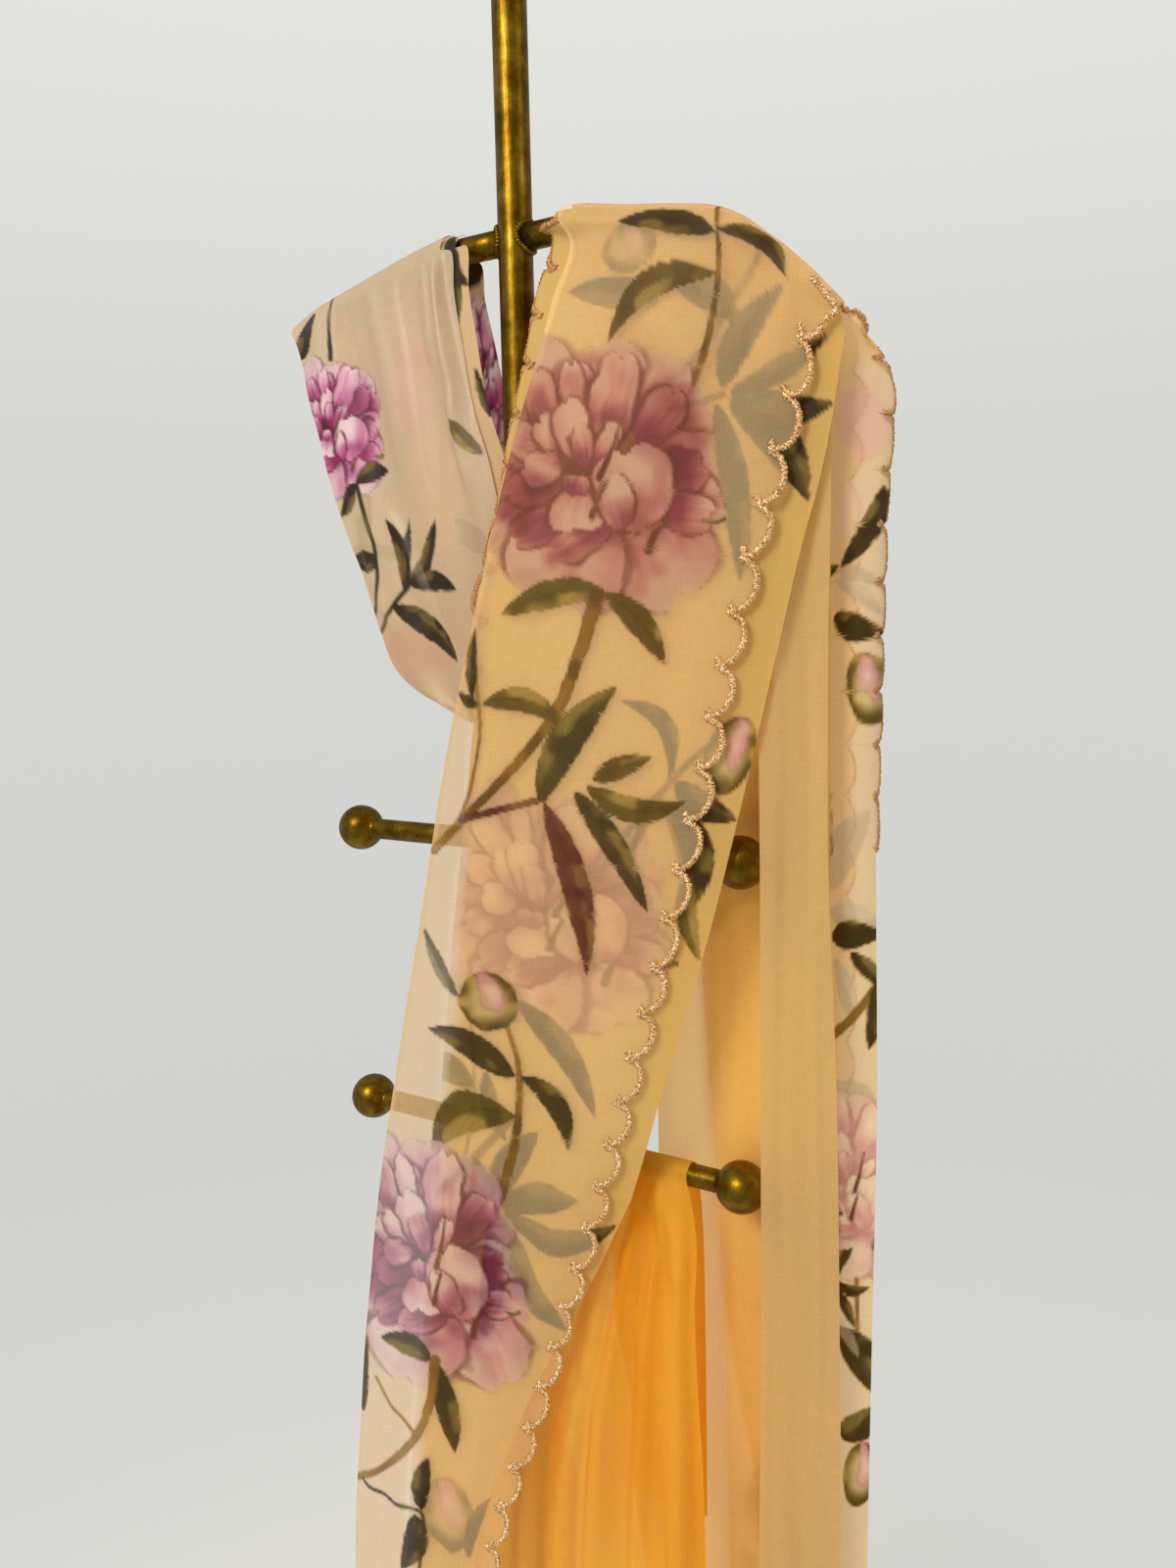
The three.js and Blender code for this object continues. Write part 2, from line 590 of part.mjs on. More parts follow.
function addBunch() {
  const gather = (across, wave) => wave * Math.sin(across * BUNCH_GATHERS * 2 * Math.PI);
  const fall = (row) => (across) => (
    inPegPlane(between(row.left, row.right, across), row.off + gather(across, row.wave ?? 1), row.z)
  );
  const crest = BUNCH_TURNS.map((degrees) => (across) => {
    const turn = degrees * Math.PI / 180;
    const { left, right, radius } = BUNCH_CREST;
    const z = PEG_HEIGHTS.low + radius * Math.cos(turn);
    return inPegPlane(between(left, right, across), radius * Math.sin(turn), z);
  });
  const rows = [...BUNCH_BACK.map(fall), ...crest, ...BUNCH_FRONT.map(fall)];
  const surface = drape(rows);
  add('body_gathered', clothWall({
    surface,
    stops: rowsByPitch(surface, always(0.5), rows.length, 2 * SCALLOP_PITCH, 1)
      .concat(BUNCH_TURNS.map((_, i) => i + BUNCH_BACK.length)).sort((a, b) => a - b)
      .filter((row, i, all) => i === 0 || row - all[i - 1] > 0.2),
    left: always(0),
    right: always(1),
    cells: 24,
  }), ORANGE);
}

// Swag over the far top arm, in the peg plane's frame. Its left fold runs in towards the post.
const SWAG_FRONT = [
  { left: -205, leftZ: 1548, right: -45, rightZ: 1592 },
  { left: -198, leftZ: 1530, right: -43, rightZ: 1562 },
  { left: -193, leftZ: 1508, right: -37, rightZ: 1529 },
  { left: -183, leftZ: 1477, right: -27, rightZ: 1479 },
  { left: -171, leftZ: 1431, right: -14, rightZ: 1439 },
  { left: -156, leftZ: 1391, right: -4, rightZ: 1395 },
  { left: -140, leftZ: 1357, right: 4, rightZ: 1350 },
  { left: -126, leftZ: 1318, right: 10, rightZ: 1305 },
  { left: -113, leftZ: 1288, right: 14, rightZ: 1265 },
  { left: -92, leftZ: 1270, right: 16, rightZ: 1240 },
  { left: -60, leftZ: 1256, right: 17, rightZ: 1222 },
];
const SWAG_LAYER = 2.1;
const SWAG_OFF = 22;
const CREST_OFF = 17;
const SWAG_RISE = [6, 3];
// Each row of the back layer hangs this much higher than the front one's, row by row
const SWAG_BACK_LIFT = 4;
const SWAG_INNER_SHARE = 0.72;
const SWAG_INNER_REACH = 0.08;
const SWAG_FOLDS = [
  { at: 0.2, width: 0.2, depth: 4 },
  { at: 0.62, width: 0.22, depth: 5 },
  { at: 0.9, width: 0.1, depth: 4 },
];

function swagRows(side, inset, lift) {
  const fall = SWAG_FRONT.map((row, i) => (across) => {
    const ease = Math.min((i + 1) / 4, 1);
    const bumps = SWAG_FOLDS.reduce((sum, f) => sum + fold(across, f.at, f.width, f.depth), 0);
    const off = between(CREST_OFF, SWAG_OFF, ease) + ease * bumps - inset;
    const z = between(row.leftZ, row.rightZ, across) + atFallStart(SWAG_RISE, i) * Math.sin(Math.PI * across);
    return inPegPlane(between(row.left, row.right, across), side * off, z + lift * i);
  });
  return [...crestRows(FAR_CREST, side, inset), ...fall];
}
function addSwag() {
  const rowCount = CREST_TURNS.length + SWAG_FRONT.length;
  const front = drape(swagRows(1, 0, 0));
  const stops = rowsByPitch(front, always(0.5), rowCount, 0.8 * SCALLOP_PITCH, CREST_TURNS.length);
  add('swag_front', clothWall({ surface: front, stops, left: always(0), right: always(1), cells: 9 }), CREAM);

  const inner = drape(swagRows(1, SWAG_LAYER, 0));
  add('swag_inner', clothWall({
    surface: inner,
    stops: stops.filter((row) => row < rowCount - 2),
    left: always(SWAG_INNER_SHARE),
    right: always(1 + SWAG_INNER_REACH),
    cells: 4,
  }), CREAM);

  const back = drape(swagRows(-1, 0, SWAG_BACK_LIFT));
  add('swag_back', clothWall({ surface: back, stops, left: always(0), right: always(1), cells: 7 }), CREAM);
}

addStand();
addFrontFall();
addBand();
addBackFalls();
addBunch();
addSwag();

export default saree;
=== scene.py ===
# %% [markdown]
# # A printed organza saree on a peg rack
# A saree is one long cloth. This one is sheer organza in honey colours: a plain body that deepens to
# orange, and a printed end piece with a scalloped, embroidered edge. A second, denser printed cloth
# hangs as a swag over the other arm of the rack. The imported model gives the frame, in metres.

import math

import bpy
import numpy as np
from mathutils import Matrix, Vector


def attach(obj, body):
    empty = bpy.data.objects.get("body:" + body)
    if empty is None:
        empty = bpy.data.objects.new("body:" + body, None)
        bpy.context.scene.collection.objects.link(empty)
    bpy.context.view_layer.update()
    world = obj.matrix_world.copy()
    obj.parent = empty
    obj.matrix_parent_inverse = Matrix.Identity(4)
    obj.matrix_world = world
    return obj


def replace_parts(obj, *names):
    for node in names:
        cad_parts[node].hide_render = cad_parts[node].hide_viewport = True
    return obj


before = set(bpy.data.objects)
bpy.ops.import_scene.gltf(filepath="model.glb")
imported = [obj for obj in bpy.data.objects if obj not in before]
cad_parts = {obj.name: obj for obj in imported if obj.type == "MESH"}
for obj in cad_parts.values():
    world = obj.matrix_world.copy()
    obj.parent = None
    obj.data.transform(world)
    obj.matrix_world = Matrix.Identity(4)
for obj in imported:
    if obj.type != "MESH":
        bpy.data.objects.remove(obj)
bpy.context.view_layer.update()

# %% [markdown]
# ## The camera
# A phone held a little higher than the swag looks slightly down at the rack. The post is taken to be
# tube of 25.4 mm, a standard size. Matching the post, the pegs and their balls to the photograph then
# gave the camera's place and turn.

# %% Camera
MM = 0.001
CAMERA_PLACE = Vector((-47.5, -900.0, 1316.0)) * MM
YAW, PITCH, ROLL = (math.radians(turn) for turn in (5.85, 7.57, -1.20))
# 27 mm on a sensor 36 mm along its long side is a phone's main lens
LENS, SENSOR = 27.0, 36.0

ahead = Vector((
    math.sin(YAW) * math.cos(PITCH),
    math.cos(YAW) * math.cos(PITCH),
    -math.sin(PITCH),
))
level_right = Vector((math.cos(YAW), -math.sin(YAW), 0))
level_up = level_right.cross(ahead)
camera_right = math.cos(ROLL) * level_right + math.sin(ROLL) * level_up
camera_up = -math.sin(ROLL) * level_right + math.cos(ROLL) * level_up

camera_data = bpy.data.cameras.new("camera")
camera_data.lens = LENS
camera_data.sensor_width = SENSOR
camera = bpy.data.objects.new("camera", camera_data)
turned = Matrix((camera_right, camera_up, -ahead)).transposed().to_4x4()
camera.matrix_world = Matrix.Translation(CAMERA_PLACE) @ turned
bpy.context.scene.collection.objects.link(camera)
bpy.context.scene.camera = camera
bpy.context.scene.view_settings.view_transform = "Standard"
print("Camera looks along", [round(v, 3) for v in ahead])

# %% [markdown]
# ## Colours and nodes
# Every colour is written as the eye would pick it on a screen (sRGB hex). Shaders add light, so they
# need linear numbers. One function turns the one into the other, and one adds a node.

# %% Helpers for colours and nodes
def linear(hex_colour):
    """Linear red, green and blue of a colour such as "E2B98A"."""
    parts = np.array([int(hex_colour[i:i + 2], 16) / 255 for i in (0, 2, 4)])
    return np.where(parts <= 0.04045, parts / 12.92, ((parts + 0.055) / 1.055) ** 2.4)


def rgba(hex_colour):
    return (*linear(hex_colour), 1.0)


def node(tree, kind, sets=None, **inputs):
    """Adds a node; sets are its settings, inputs are values or output sockets by input name."""
    made = tree.nodes.new(kind)
    for name, value in (sets or {}).items():
        setattr(made, name, value)
    for name, value in inputs.items():
        key = int(name[1:]) if name[0] == "_" and name[1:].isdigit() else name.replace("_", " ")
        socket = made.inputs[key]
        if isinstance(value, bpy.types.NodeSocket):
            tree.links.new(value, socket)
        else:
            socket.default_value = value
    return made


def new_material(name):
    material = bpy.data.materials.new(name)
    material.use_nodes = True
    material.node_tree.nodes.clear()
    return material, material.node_tree


def colour_ramp(tree, factor, stops):
    """Ramp through (place, hex) stops."""
    ramp = node(tree, "ShaderNodeValToRGB", Fac=factor)
    elements = ramp.color_ramp.elements
    while len(elements) < len(stops):
        elements.new(0.5)
    for element, (place, hex_colour) in zip(elements, stops):
        element.position = place
        element.color = rgba(hex_colour)
    return ramp.outputs["Color"]


def map_range(tree, value, low, high, new_low=0.0, new_high=1.0, **sets):
    """Socket that runs from new_low to new_high while the value runs from low to high."""
    return node(
        tree, "ShaderNodeMapRange", sets, _0=value, _1=low, _2=high, _3=new_low, _4=new_high,
    ).outputs[0]


def mix_shaders(tree, share, first, second):
    """Shader that is the first one at share 0 and the second one at share 1."""
    return node(
        tree, "ShaderNodeMixShader", _0=share, _1=first.outputs[0], _2=second.outputs[0],
    )


# %% [markdown]
# ## Studio
# The rack stands on a pale floor that fades into a plain, light wall. The world serves three kinds of
# ray: the camera's sees the wall, the cloth's gathers soft light from all round, and the brass's sees
# a dimmer room with a bright window band on the left, which gives the post its streak and dark sides.

# %% Floor, world and lamps
floor_mesh = bpy.data.meshes.new("floor")
FLOOR_HALF = 6.0
floor_mesh.from_pydata(
    [(x * FLOOR_HALF, y * FLOOR_HALF, 0) for x, y in ((-1, -1), (1, -1), (1, 1), (-1, 1))],
    [], [(0, 1, 2, 3)],
)
floor = bpy.data.objects.new("floor", floor_mesh)
bpy.context.scene.collection.objects.link(floor)
floor_paint, tree = new_material("matt pale floor paint")
speck = node(tree, "ShaderNodeTexNoise", Scale=3.0, Detail=3.0)
pale = colour_ramp(tree, speck.outputs["Fac"], [(0.3, "D6D7D3"), (0.7, "DCDDD9")])
shader = node(tree, "ShaderNodeBsdfPrincipled", Base_Color=pale, Roughness=0.8)
# The floor fades out round the rack, as on a paper sweep, so no horizon shows
spot = node(tree, "ShaderNodeTexCoord")
away = node(tree, "ShaderNodeVectorMath", {"operation": "LENGTH"}, _0=spot.outputs["Object"])
FLOOR_FULL, FLOOR_GONE = 0.35, 1.3
fade = map_range(
    tree, away.outputs["Value"], FLOOR_FULL, FLOOR_GONE, interpolation_type="SMOOTHSTEP",
)
swept = mix_shaders(tree, fade, shader, node(tree, "ShaderNodeBsdfTransparent"))
node(tree, "ShaderNodeOutputMaterial", Surface=swept.outputs[0])
floor_mesh.materials.append(floor_paint)

world = bpy.data.worlds.new("studio")
bpy.context.scene.world = world
world.use_nodes = True
tree = world.node_tree
tree.nodes.clear()
path = node(tree, "ShaderNodeLightPath")
way = node(tree, "ShaderNodeTexCoord")
split = node(tree, "ShaderNodeSeparateXYZ", _0=way.outputs["Generated"])
# Seen room: a plain wall with painted shade, a touch darker behind the middle of the rack
seen = colour_ramp(tree, map_range(tree, split.outputs["Z"], -0.7, 0.5), [
    (0.0, "D9D9D6"), (0.25, "D1D2CE"), (0.47, "D3D4CF"), (0.7, "D6D7D2"), (1.0, "E6E7E2"),
])
# Light on the cloth: brighter from above than from the floor
lift = map_range(tree, split.outputs["Z"], -1.0, 1.0)
soft = colour_ramp(tree, lift, [(0.0, "C2BBAF"), (0.5, "E2DED6"), (1.0, "FFFFFF")])
# Mirrored room: dim walls, with a soft window band to the left front
mirrored = colour_ramp(tree, map_range(tree, split.outputs["X"], -1.0, 1.0), [
    (0.0, "A2A29A"), (0.10, "ACAFB2"), (0.19, "B4BCC6"), (0.27, "A4A6A4"), (0.36, "8E8B80"),
    (0.52, "B8B2A4"), (0.70, "A39E90"), (0.86, "BEB9AC"), (1.0, "8C887C"),
])
backdrop_light = node(tree, "ShaderNodeBackground", Color=seen, Strength=1.0)
cloth_light = node(tree, "ShaderNodeBackground", Color=soft, Strength=0.97)
mirror_light = node(tree, "ShaderNodeBackground", Color=mirrored, Strength=1.0)
unseen = mix_shaders(tree, path.outputs["Is Glossy Ray"], cloth_light, mirror_light)
chosen = mix_shaders(tree, path.outputs["Is Camera Ray"], unseen, backdrop_light)
node(tree, "ShaderNodeOutputWorld", Surface=chosen.outputs[0])


def soft_lamp(name, place, aim, size, watts, colour):
    data = bpy.data.lights.new(name, "AREA")
    data.shape = "DISK"
    data.size = size
    data.energy = watts
    data.color = linear(colour)
    lamp = bpy.data.objects.new(name, data)
    lamp.location = place
    lamp.rotation_euler = (Vector(aim) - Vector(place)).to_track_quat("-Z", "Y").to_euler()
    bpy.context.scene.collection.objects.link(lamp)


soft_lamp("key", (-1.8, -1.9, 2.9), (0, 0, 1.2), 1.2, 58, "FFF6E6")
soft_lamp("fill", (2.2, -1.6, 2.0), (0, 0, 1.1), 1.8, 9, "F4F7FF")
print("Studio: one key lamp, one fill lamp, and a pale world")

# %% [markdown]
# ## The rack
# The real rack is steel tube with an aged brass plating, welded by hand: turned balls close the pegs,
# and each arm meets the post in a rough bead of weld. Turned parts are profiles spun round an axis, so
# one function builds them all: rings of points along a line. It follows the same sizes as the CAD.

# %% Rack sizes and the turned parts
PEG_PLANE_TURN = math.radians(37.5)
POST_RADIUS, POST_TOP = 12.7, 1838.0
KNOB_RADIUS, KNOB_REACH, PEG_RADIUS = 19.0, 176.0, 8.5
PEG_HEIGHTS = {"mid": 1151.0, "low": 911.0}


def in_peg_plane(along, off, z):
    """Points of the pegs' own upright plane: along it, in front of it, and up."""
    along, off, z = np.broadcast_arrays(*(np.asarray(v, float) for v in (along, off, z)))
    c, s = math.cos(PEG_PLANE_TURN), math.sin(PEG_PLANE_TURN)
    return np.stack([along * c - off * s, -along * s - off * c, z], axis=-1)


def make_piece(name, points, faces, material):
    """Smooth mesh object at the origin from points in millimetres."""
    mesh = bpy.data.meshes.new(name)
    mesh.from_pydata((np.asarray(points) * MM).tolist(), [], faces)
    mesh.validate()
    mesh.update()
    mesh.polygons.foreach_set("use_smooth", [True] * len(mesh.polygons))
    mesh.materials.append(material)
    piece = bpy.data.objects.new(name, mesh)
    bpy.context.scene.collection.objects.link(piece)
    return piece


def turned_part(name, stations, material, sides=48):
    """Round rings along a line; a station is (centre, unit axis, radius). Radius 0 closes an end."""
    points, faces, rings = [], [], []
    for centre, axis, radius in stations:
        centre, axis = np.asarray(centre, float), np.asarray(axis, float)
        if radius == 0:
            rings.append([len(points)])
            points.append(centre)
            continue
        side = np.cross(axis, (0, 0, 1.0) if abs(axis[2]) < 0.9 else (1.0, 0, 0))
        side /= np.linalg.norm(side)
        other = np.cross(axis, side)
        turns = np.arange(sides) / sides * 2 * math.pi
        rings.append(list(range(len(points), len(points) + sides)))
        points.extend(centre + radius * (np.cos(t) * side + np.sin(t) * other) for t in turns)
    for low, high in zip(rings, rings[1:]):
        for k in range(sides):
            a = low[k % len(low)]
            b = low[(k + 1) % len(low)]
            c = high[(k + 1) % len(high)]
            d = high[k % len(high)]
            corners = list(dict.fromkeys((a, b, c, d)))
            if len(corners) >= 3:
                faces.append(corners)
    return make_piece(name, points, faces, material)


# %% [markdown]
# Aged brass plating: a warm dark gold that is shiny on the crown of the tube and browner where the
# lacquer is thick. It is metal, so its colour tints what it mirrors. Fine scratches along the tube
# and a cloudy patina at 10 to 40 mm keep it from looking like new plastic.

# %% Aged brass material
brass, tree = new_material("aged lacquered brass plate")
place = node(tree, "ShaderNodeTexCoord")
CLOUD_MM, GRIT_MM = 18.0, 1.2
patina = node(
    tree, "ShaderNodeTexNoise", Vector=place.outputs["Object"], Scale=1 / (CLOUD_MM * MM),
    Detail=5.0, Roughness=0.65,
)
stretch = node(tree, "ShaderNodeMapping", Vector=place.outputs["Object"], Scale=(1.0, 1.0, 0.06))
grit = node(
    tree, "ShaderNodeTexNoise", Vector=stretch.outputs[0], Scale=1 / (GRIT_MM * MM), Detail=2.0,
)
metal_colour = colour_ramp(tree, patina.outputs["Fac"], [
    (0.28, "4A3608"), (0.46, "70540F"), (0.6, "886C20"), (0.78, "A48834"),
])
gloss = map_range(tree, grit.outputs["Fac"], 0.3, 0.7, 0.27, 0.48)
bump = node(tree, "ShaderNodeBump", Strength=0.18, Distance=0.0004, Height=grit.outputs["Fac"])
shader = node(
    tree, "ShaderNodeBsdfPrincipled", Base_Color=metal_colour, Metallic=1.0,
    Roughness=gloss, Normal=bump.outputs[0],
)
node(tree, "ShaderNodeOutputMaterial", Surface=shader.outputs[0])

# %% [markdown]
# The base plate, the post with its ball, and the pegs. Edges that a lathe leaves sharp are rounded by
# a few rings each, because a real edge always catches a line of light.

# %% Base, post and finial
BASE_RADIUS, BASE_THICKNESS, SOCKET_RADIUS, SOCKET_TOP = 190.0, 8.0, 26.0, 46.0
SEAT_GAP = 0.3
UP = (0, 0, 1.0)


def rounded_corner(radius, z, size, start, steps=5):
    """Ring (radius, z) pairs of a quarter round whose centre is at that radius and height."""
    turns = np.radians(start + np.linspace(0, 90, steps))
    return [(radius + size * math.cos(t), z + size * math.sin(t)) for t in turns]


profile = [(0, 0), (BASE_RADIUS - 2, 0)]
profile += rounded_corner(BASE_RADIUS - 2, 2, 2, -90)
profile += rounded_corner(BASE_RADIUS - 2, BASE_THICKNESS - 2, 2, 0)
profile += [(SOCKET_RADIUS + 4, BASE_THICKNESS), (SOCKET_RADIUS + 1.2, BASE_THICKNESS + 1)]
profile += [(SOCKET_RADIUS, BASE_THICKNESS + 3.5)]
profile += rounded_corner(SOCKET_RADIUS - 3, SOCKET_TOP - 3, 3, 0)
bore = POST_RADIUS + SEAT_GAP
profile += [(bore, SOCKET_TOP), (bore, BASE_THICKNESS), (0, BASE_THICKNESS)]
upright = [("base_plate", "base", profile, 96)]

POST_FOOT = BASE_THICKNESS + SEAT_GAP
profile = [(0, POST_FOOT), (POST_RADIUS, POST_FOOT)]
profile += [(POST_RADIUS, z) for z in np.linspace(POST_FOOT + 20, POST_TOP - 20, 30)]
profile += rounded_corner(POST_RADIUS - 1, POST_TOP - 1, 1, 0, 4) + [(0, POST_TOP)]
upright.append(("post_tube", "post", profile, 64))

FINIAL_RADIUS, FINIAL_NECK_RADIUS, FINIAL_NECK = 19.0, 9.0, 6.0
neck_foot = POST_TOP + SEAT_GAP
ball_middle = neck_foot + FINIAL_NECK + math.sqrt(FINIAL_RADIUS ** 2 - FINIAL_NECK_RADIUS ** 2)
start = -math.acos(FINIAL_NECK_RADIUS / FINIAL_RADIUS)
profile = [(0, neck_foot), (FINIAL_NECK_RADIUS, neck_foot), (FINIAL_NECK_RADIUS, neck_foot + 5)]
for turn in np.linspace(start, math.pi / 2, 25)[:-1]:
    profile.append((FINIAL_RADIUS * math.cos(turn), ball_middle + FINIAL_RADIUS * math.sin(turn)))
profile.append((0, ball_middle + FINIAL_RADIUS))
upright.append(("finial_ball", "finial", profile, 48))

for name, solid, profile, sides in upright:
    spun = turned_part(name, [((0, 0, z), UP, r) for r, z in profile], brass, sides)
    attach(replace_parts(spun, solid), "root")
print("Post is", 2 * POST_RADIUS, "mm thick and its ball ends at", round(ball_middle + FINIAL_RADIUS), "mm")

# %% Pegs and top arms
TOP_ARM = {"height": 1596.5, "radius": 9.5, "level": 58.0, "reach": 158.0, "fall": 0.26}
SEAT = POST_RADIUS - 3.0


def rod_stations(line, direction):
    """Stations of a rod from (along, z, radius) triples on one side of the post."""
    places = [in_peg_plane(direction * along, 0, z) for along, z, _ in line]
    result = []
    for i, (_, _, radius) in enumerate(line):
        before, after = places[max(i - 1, 0)], places[min(i + 1, len(places) - 1)]
        axis = (after - before) / np.linalg.norm(after - before)
        result.append((places[i], axis, radius))
    return result


def peg_line(z):
    neck = math.asin(PEG_RADIUS / KNOB_RADIUS)
    line = [(SEAT, z, 0), (SEAT, z, PEG_RADIUS), (60, z, PEG_RADIUS), (120, z, PEG_RADIUS)]
    line.append((KNOB_REACH - KNOB_RADIUS * math.cos(neck) - 1.6, z, PEG_RADIUS))
    for turn in np.linspace(neck, math.pi, 22)[:-1]:
        line.append((KNOB_REACH - KNOB_RADIUS * math.cos(turn), z, KNOB_RADIUS * math.sin(turn)))
    return line + [(KNOB_REACH + KNOB_RADIUS, z, 0)]


def arm_line():
    height, radius, level, reach, fall = TOP_ARM.values()
    tip = height - fall * (reach - level)
    line = [(SEAT, height, 0), (SEAT, height, radius), (30, height, radius), (level - 12, height, radius)]
    line += [(level - 4, height - 0.3, radius), (level + 5, height - 1.8, radius)]
    line += [(level + 14, height - fall * 13.5, radius), (reach, tip, radius)]
    for turn in np.radians((18, 36, 54, 70, 82)):
        out = radius * math.sin(turn)
        line.append((reach + out, tip - fall * out, radius * math.cos(turn)))
    return line + [(reach + radius, tip - fall * radius, 0)]


for side, direction in (("near", 1), ("far", -1)):
    arm = turned_part(f"arm_top_{side}", rod_stations(arm_line(), direction), brass, sides=40)
    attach(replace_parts(arm, f"top_arm_{side}"), "root")
    for tier, z in PEG_HEIGHTS.items():
        peg = turned_part(f"peg_rod_{tier}_{side}", rod_stations(peg_line(z), direction), brass, sides=40)
        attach(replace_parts(peg, f"peg_{tier}_{side}"), "root")
print("Six rods leave the post; the four pegs end in balls", 2 * KNOB_RADIUS, "mm wide")

# %% [markdown]
# Where a rod meets the post the welder left a bead: small overlapping drops round the joint. Geometry
# Nodes set a drop at even steps along each joint's curve, turn and size it at random from a fixed
# seed, and the overlap makes the lumpy ring.

# %% Weld beads
def saddle_curve(direction, z, radius):
    """Closed line where a rod of that radius leaves the post."""
    turns = np.linspace(0, 2 * math.pi, 49)[:-1]
    off = (radius + 1.0) * np.cos(turns)
    up = z + (radius + 1.0) * np.sin(turns)
    along = direction * np.sqrt(np.maximum((POST_RADIUS + 0.6) ** 2 - off ** 2, 0))
    return in_peg_plane(along, off, up)


def curve_mesh(name, lines, closed, attributes=None):
    """Mesh of bare edges along each line, in millimetres; attributes are vectors by point."""
    points, edges = [], []
    for line in lines:
        first = len(points)
        points.extend(line)
        edges += [(first + k, first + k + 1) for k in range(len(line) - 1)]
        if closed:
            edges.append((first + len(line) - 1, first))
    mesh = bpy.data.meshes.new(name)
    mesh.from_pydata((np.asarray(points) * MM).tolist(), edges, [])
    for key, values in (attributes or {}).items():
        kind = "FLOAT_VECTOR" if np.ndim(values[0]) else "FLOAT"
        layer = mesh.attributes.new(key, kind, "POINT")
        flat = np.asarray(values, float).ravel()
        layer.data.foreach_set("vector" if kind == "FLOAT_VECTOR" else "value", flat)
    made = bpy.data.objects.new(name, mesh)
    bpy.context.scene.collection.objects.link(made)
    return made


def bead_tree(name, inputs):
    """Empty tree that takes lines and the inputs, given as kinds by name; with its input sockets."""
    tree = bpy.data.node_groups.new(name, "GeometryNodeTree")
    for key, kind in {"Geometry": "Geometry", **inputs}.items():
        tree.interface.new_socket(key, in_out="INPUT", socket_type="NodeSocket" + kind)
    tree.interface.new_socket("Geometry", in_out="OUTPUT", socket_type="NodeSocketGeometry")
    return tree, node(tree, "NodeGroupInput").outputs


def random_vector(tree, low, high, seed):
    return node(
        tree, "FunctionNodeRandomValue", {"data_type": "FLOAT_VECTOR"}, _0=low, _1=high, Seed=seed,
    ).outputs[0]


def set_along(tree, lines, step, bead, rotation, scale, material):
    """Ends a tree: beads at even steps along the lines, as one smooth mesh of that material."""
    line = node(tree, "GeometryNodeMeshToCurve", Mesh=lines)
    spaced = node(
        tree, "GeometryNodeResampleCurve", {"mode": "LENGTH"}, Curve=line.outputs[0], Length=step,
    )
    set_down = node(
        tree, "GeometryNodeInstanceOnPoints", Points=spaced.outputs[0], Instance=bead.outputs[0],
        Rotation=rotation, Scale=scale,
    )
    real = node(tree, "GeometryNodeRealizeInstances", Geometry=set_down.outputs[0])
    smooth = node(tree, "GeometryNodeSetShadeSmooth", Geometry=real.outputs[0])
    finished = node(
        tree, "GeometryNodeSetMaterial", Geometry=smooth.outputs[0], Material=material,
    )
    node(tree, "NodeGroupOutput", Geometry=finished.outputs[0])


def run_nodes(carrier, tree, values, name, material):
    """Runs a tree on the carrier with input values by name; gives the result as a plain mesh."""
    modifier = carrier.modifiers.new("nodes", "NODES")
    modifier.node_group = tree
    for item in tree.interface.items_tree:
        if item.item_type == "SOCKET" and item.in_out == "INPUT" and item.name in values:
            modifier[item.identifier] = values[item.name]
    depsgraph = bpy.context.evaluated_depsgraph_get()
    mesh = bpy.data.meshes.new_from_object(carrier.evaluated_get(depsgraph))
    mesh.name = name
    mesh.materials.clear()
    mesh.materials.append(material)
    piece = bpy.data.objects.new(name, mesh)
    bpy.context.scene.collection.objects.link(piece)
    bpy.data.objects.remove(carrier)
    return piece


weld_tree, given = bead_tree(
    "weld beads", {"Step": "Float", "Drop": "Float", "Seed": "Int", "Metal": "Material"},
)
set_along(
    weld_tree, given["Geometry"], given["Step"],
    node(weld_tree, "GeometryNodeMeshIcoSphere", Radius=given["Drop"], Subdivisions=2),
    random_vector(weld_tree, (0, 0, 0), (6.283, 6.283, 6.283), given["Seed"]),
    random_vector(weld_tree, (0.75, 0.75, 0.75), (1.35, 1.3, 1.25), given["Seed"]),
    given["Metal"],
)

joints = [saddle_curve(d, TOP_ARM["height"], TOP_ARM["radius"]) for d in (1, -1)]
joints += [saddle_curve(d, z, PEG_RADIUS) for d in (1, -1) for z in PEG_HEIGHTS.values()]
welds = run_nodes(
    curve_mesh("joint lines", joints, True), weld_tree,
    {"Step": 0.0024, "Drop": 0.0021, "Seed": 3, "Metal": brass}, "weld_beads", brass,
)
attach(welds, "root")
print("Weld beads:", len(welds.data.polygons), "faces")

# %% [markdown]
# ## The cloth's shape
# Each stretch of cloth is a family of smooth columns that pass through rows: over the crest, then down
# the fall. A row says where the cloth is for a share across it, from 0 at its left to 1 at its right.
# The rows are the CAD's own, so each sheet lies in the middle of its solid. A row number may lie
# between two rows: a centripetal spline, which never loops, gives the point there.

# %% Columns through rows
HEM = 70.0
LAYER = 3.0
CREST_SEAM = 0.7
SCALLOP_PITCH, SCALLOP_DEPTH = 35.0, 13.5
CREST_STEP, CREST_RADIUS = 40, 17
CREST_TURNS = (0, CREST_STEP, 2 * CREST_STEP)
CREST_RISE = (24, 14, 7, 3)
CREST_BULGE = (6, 6, 4, 2)


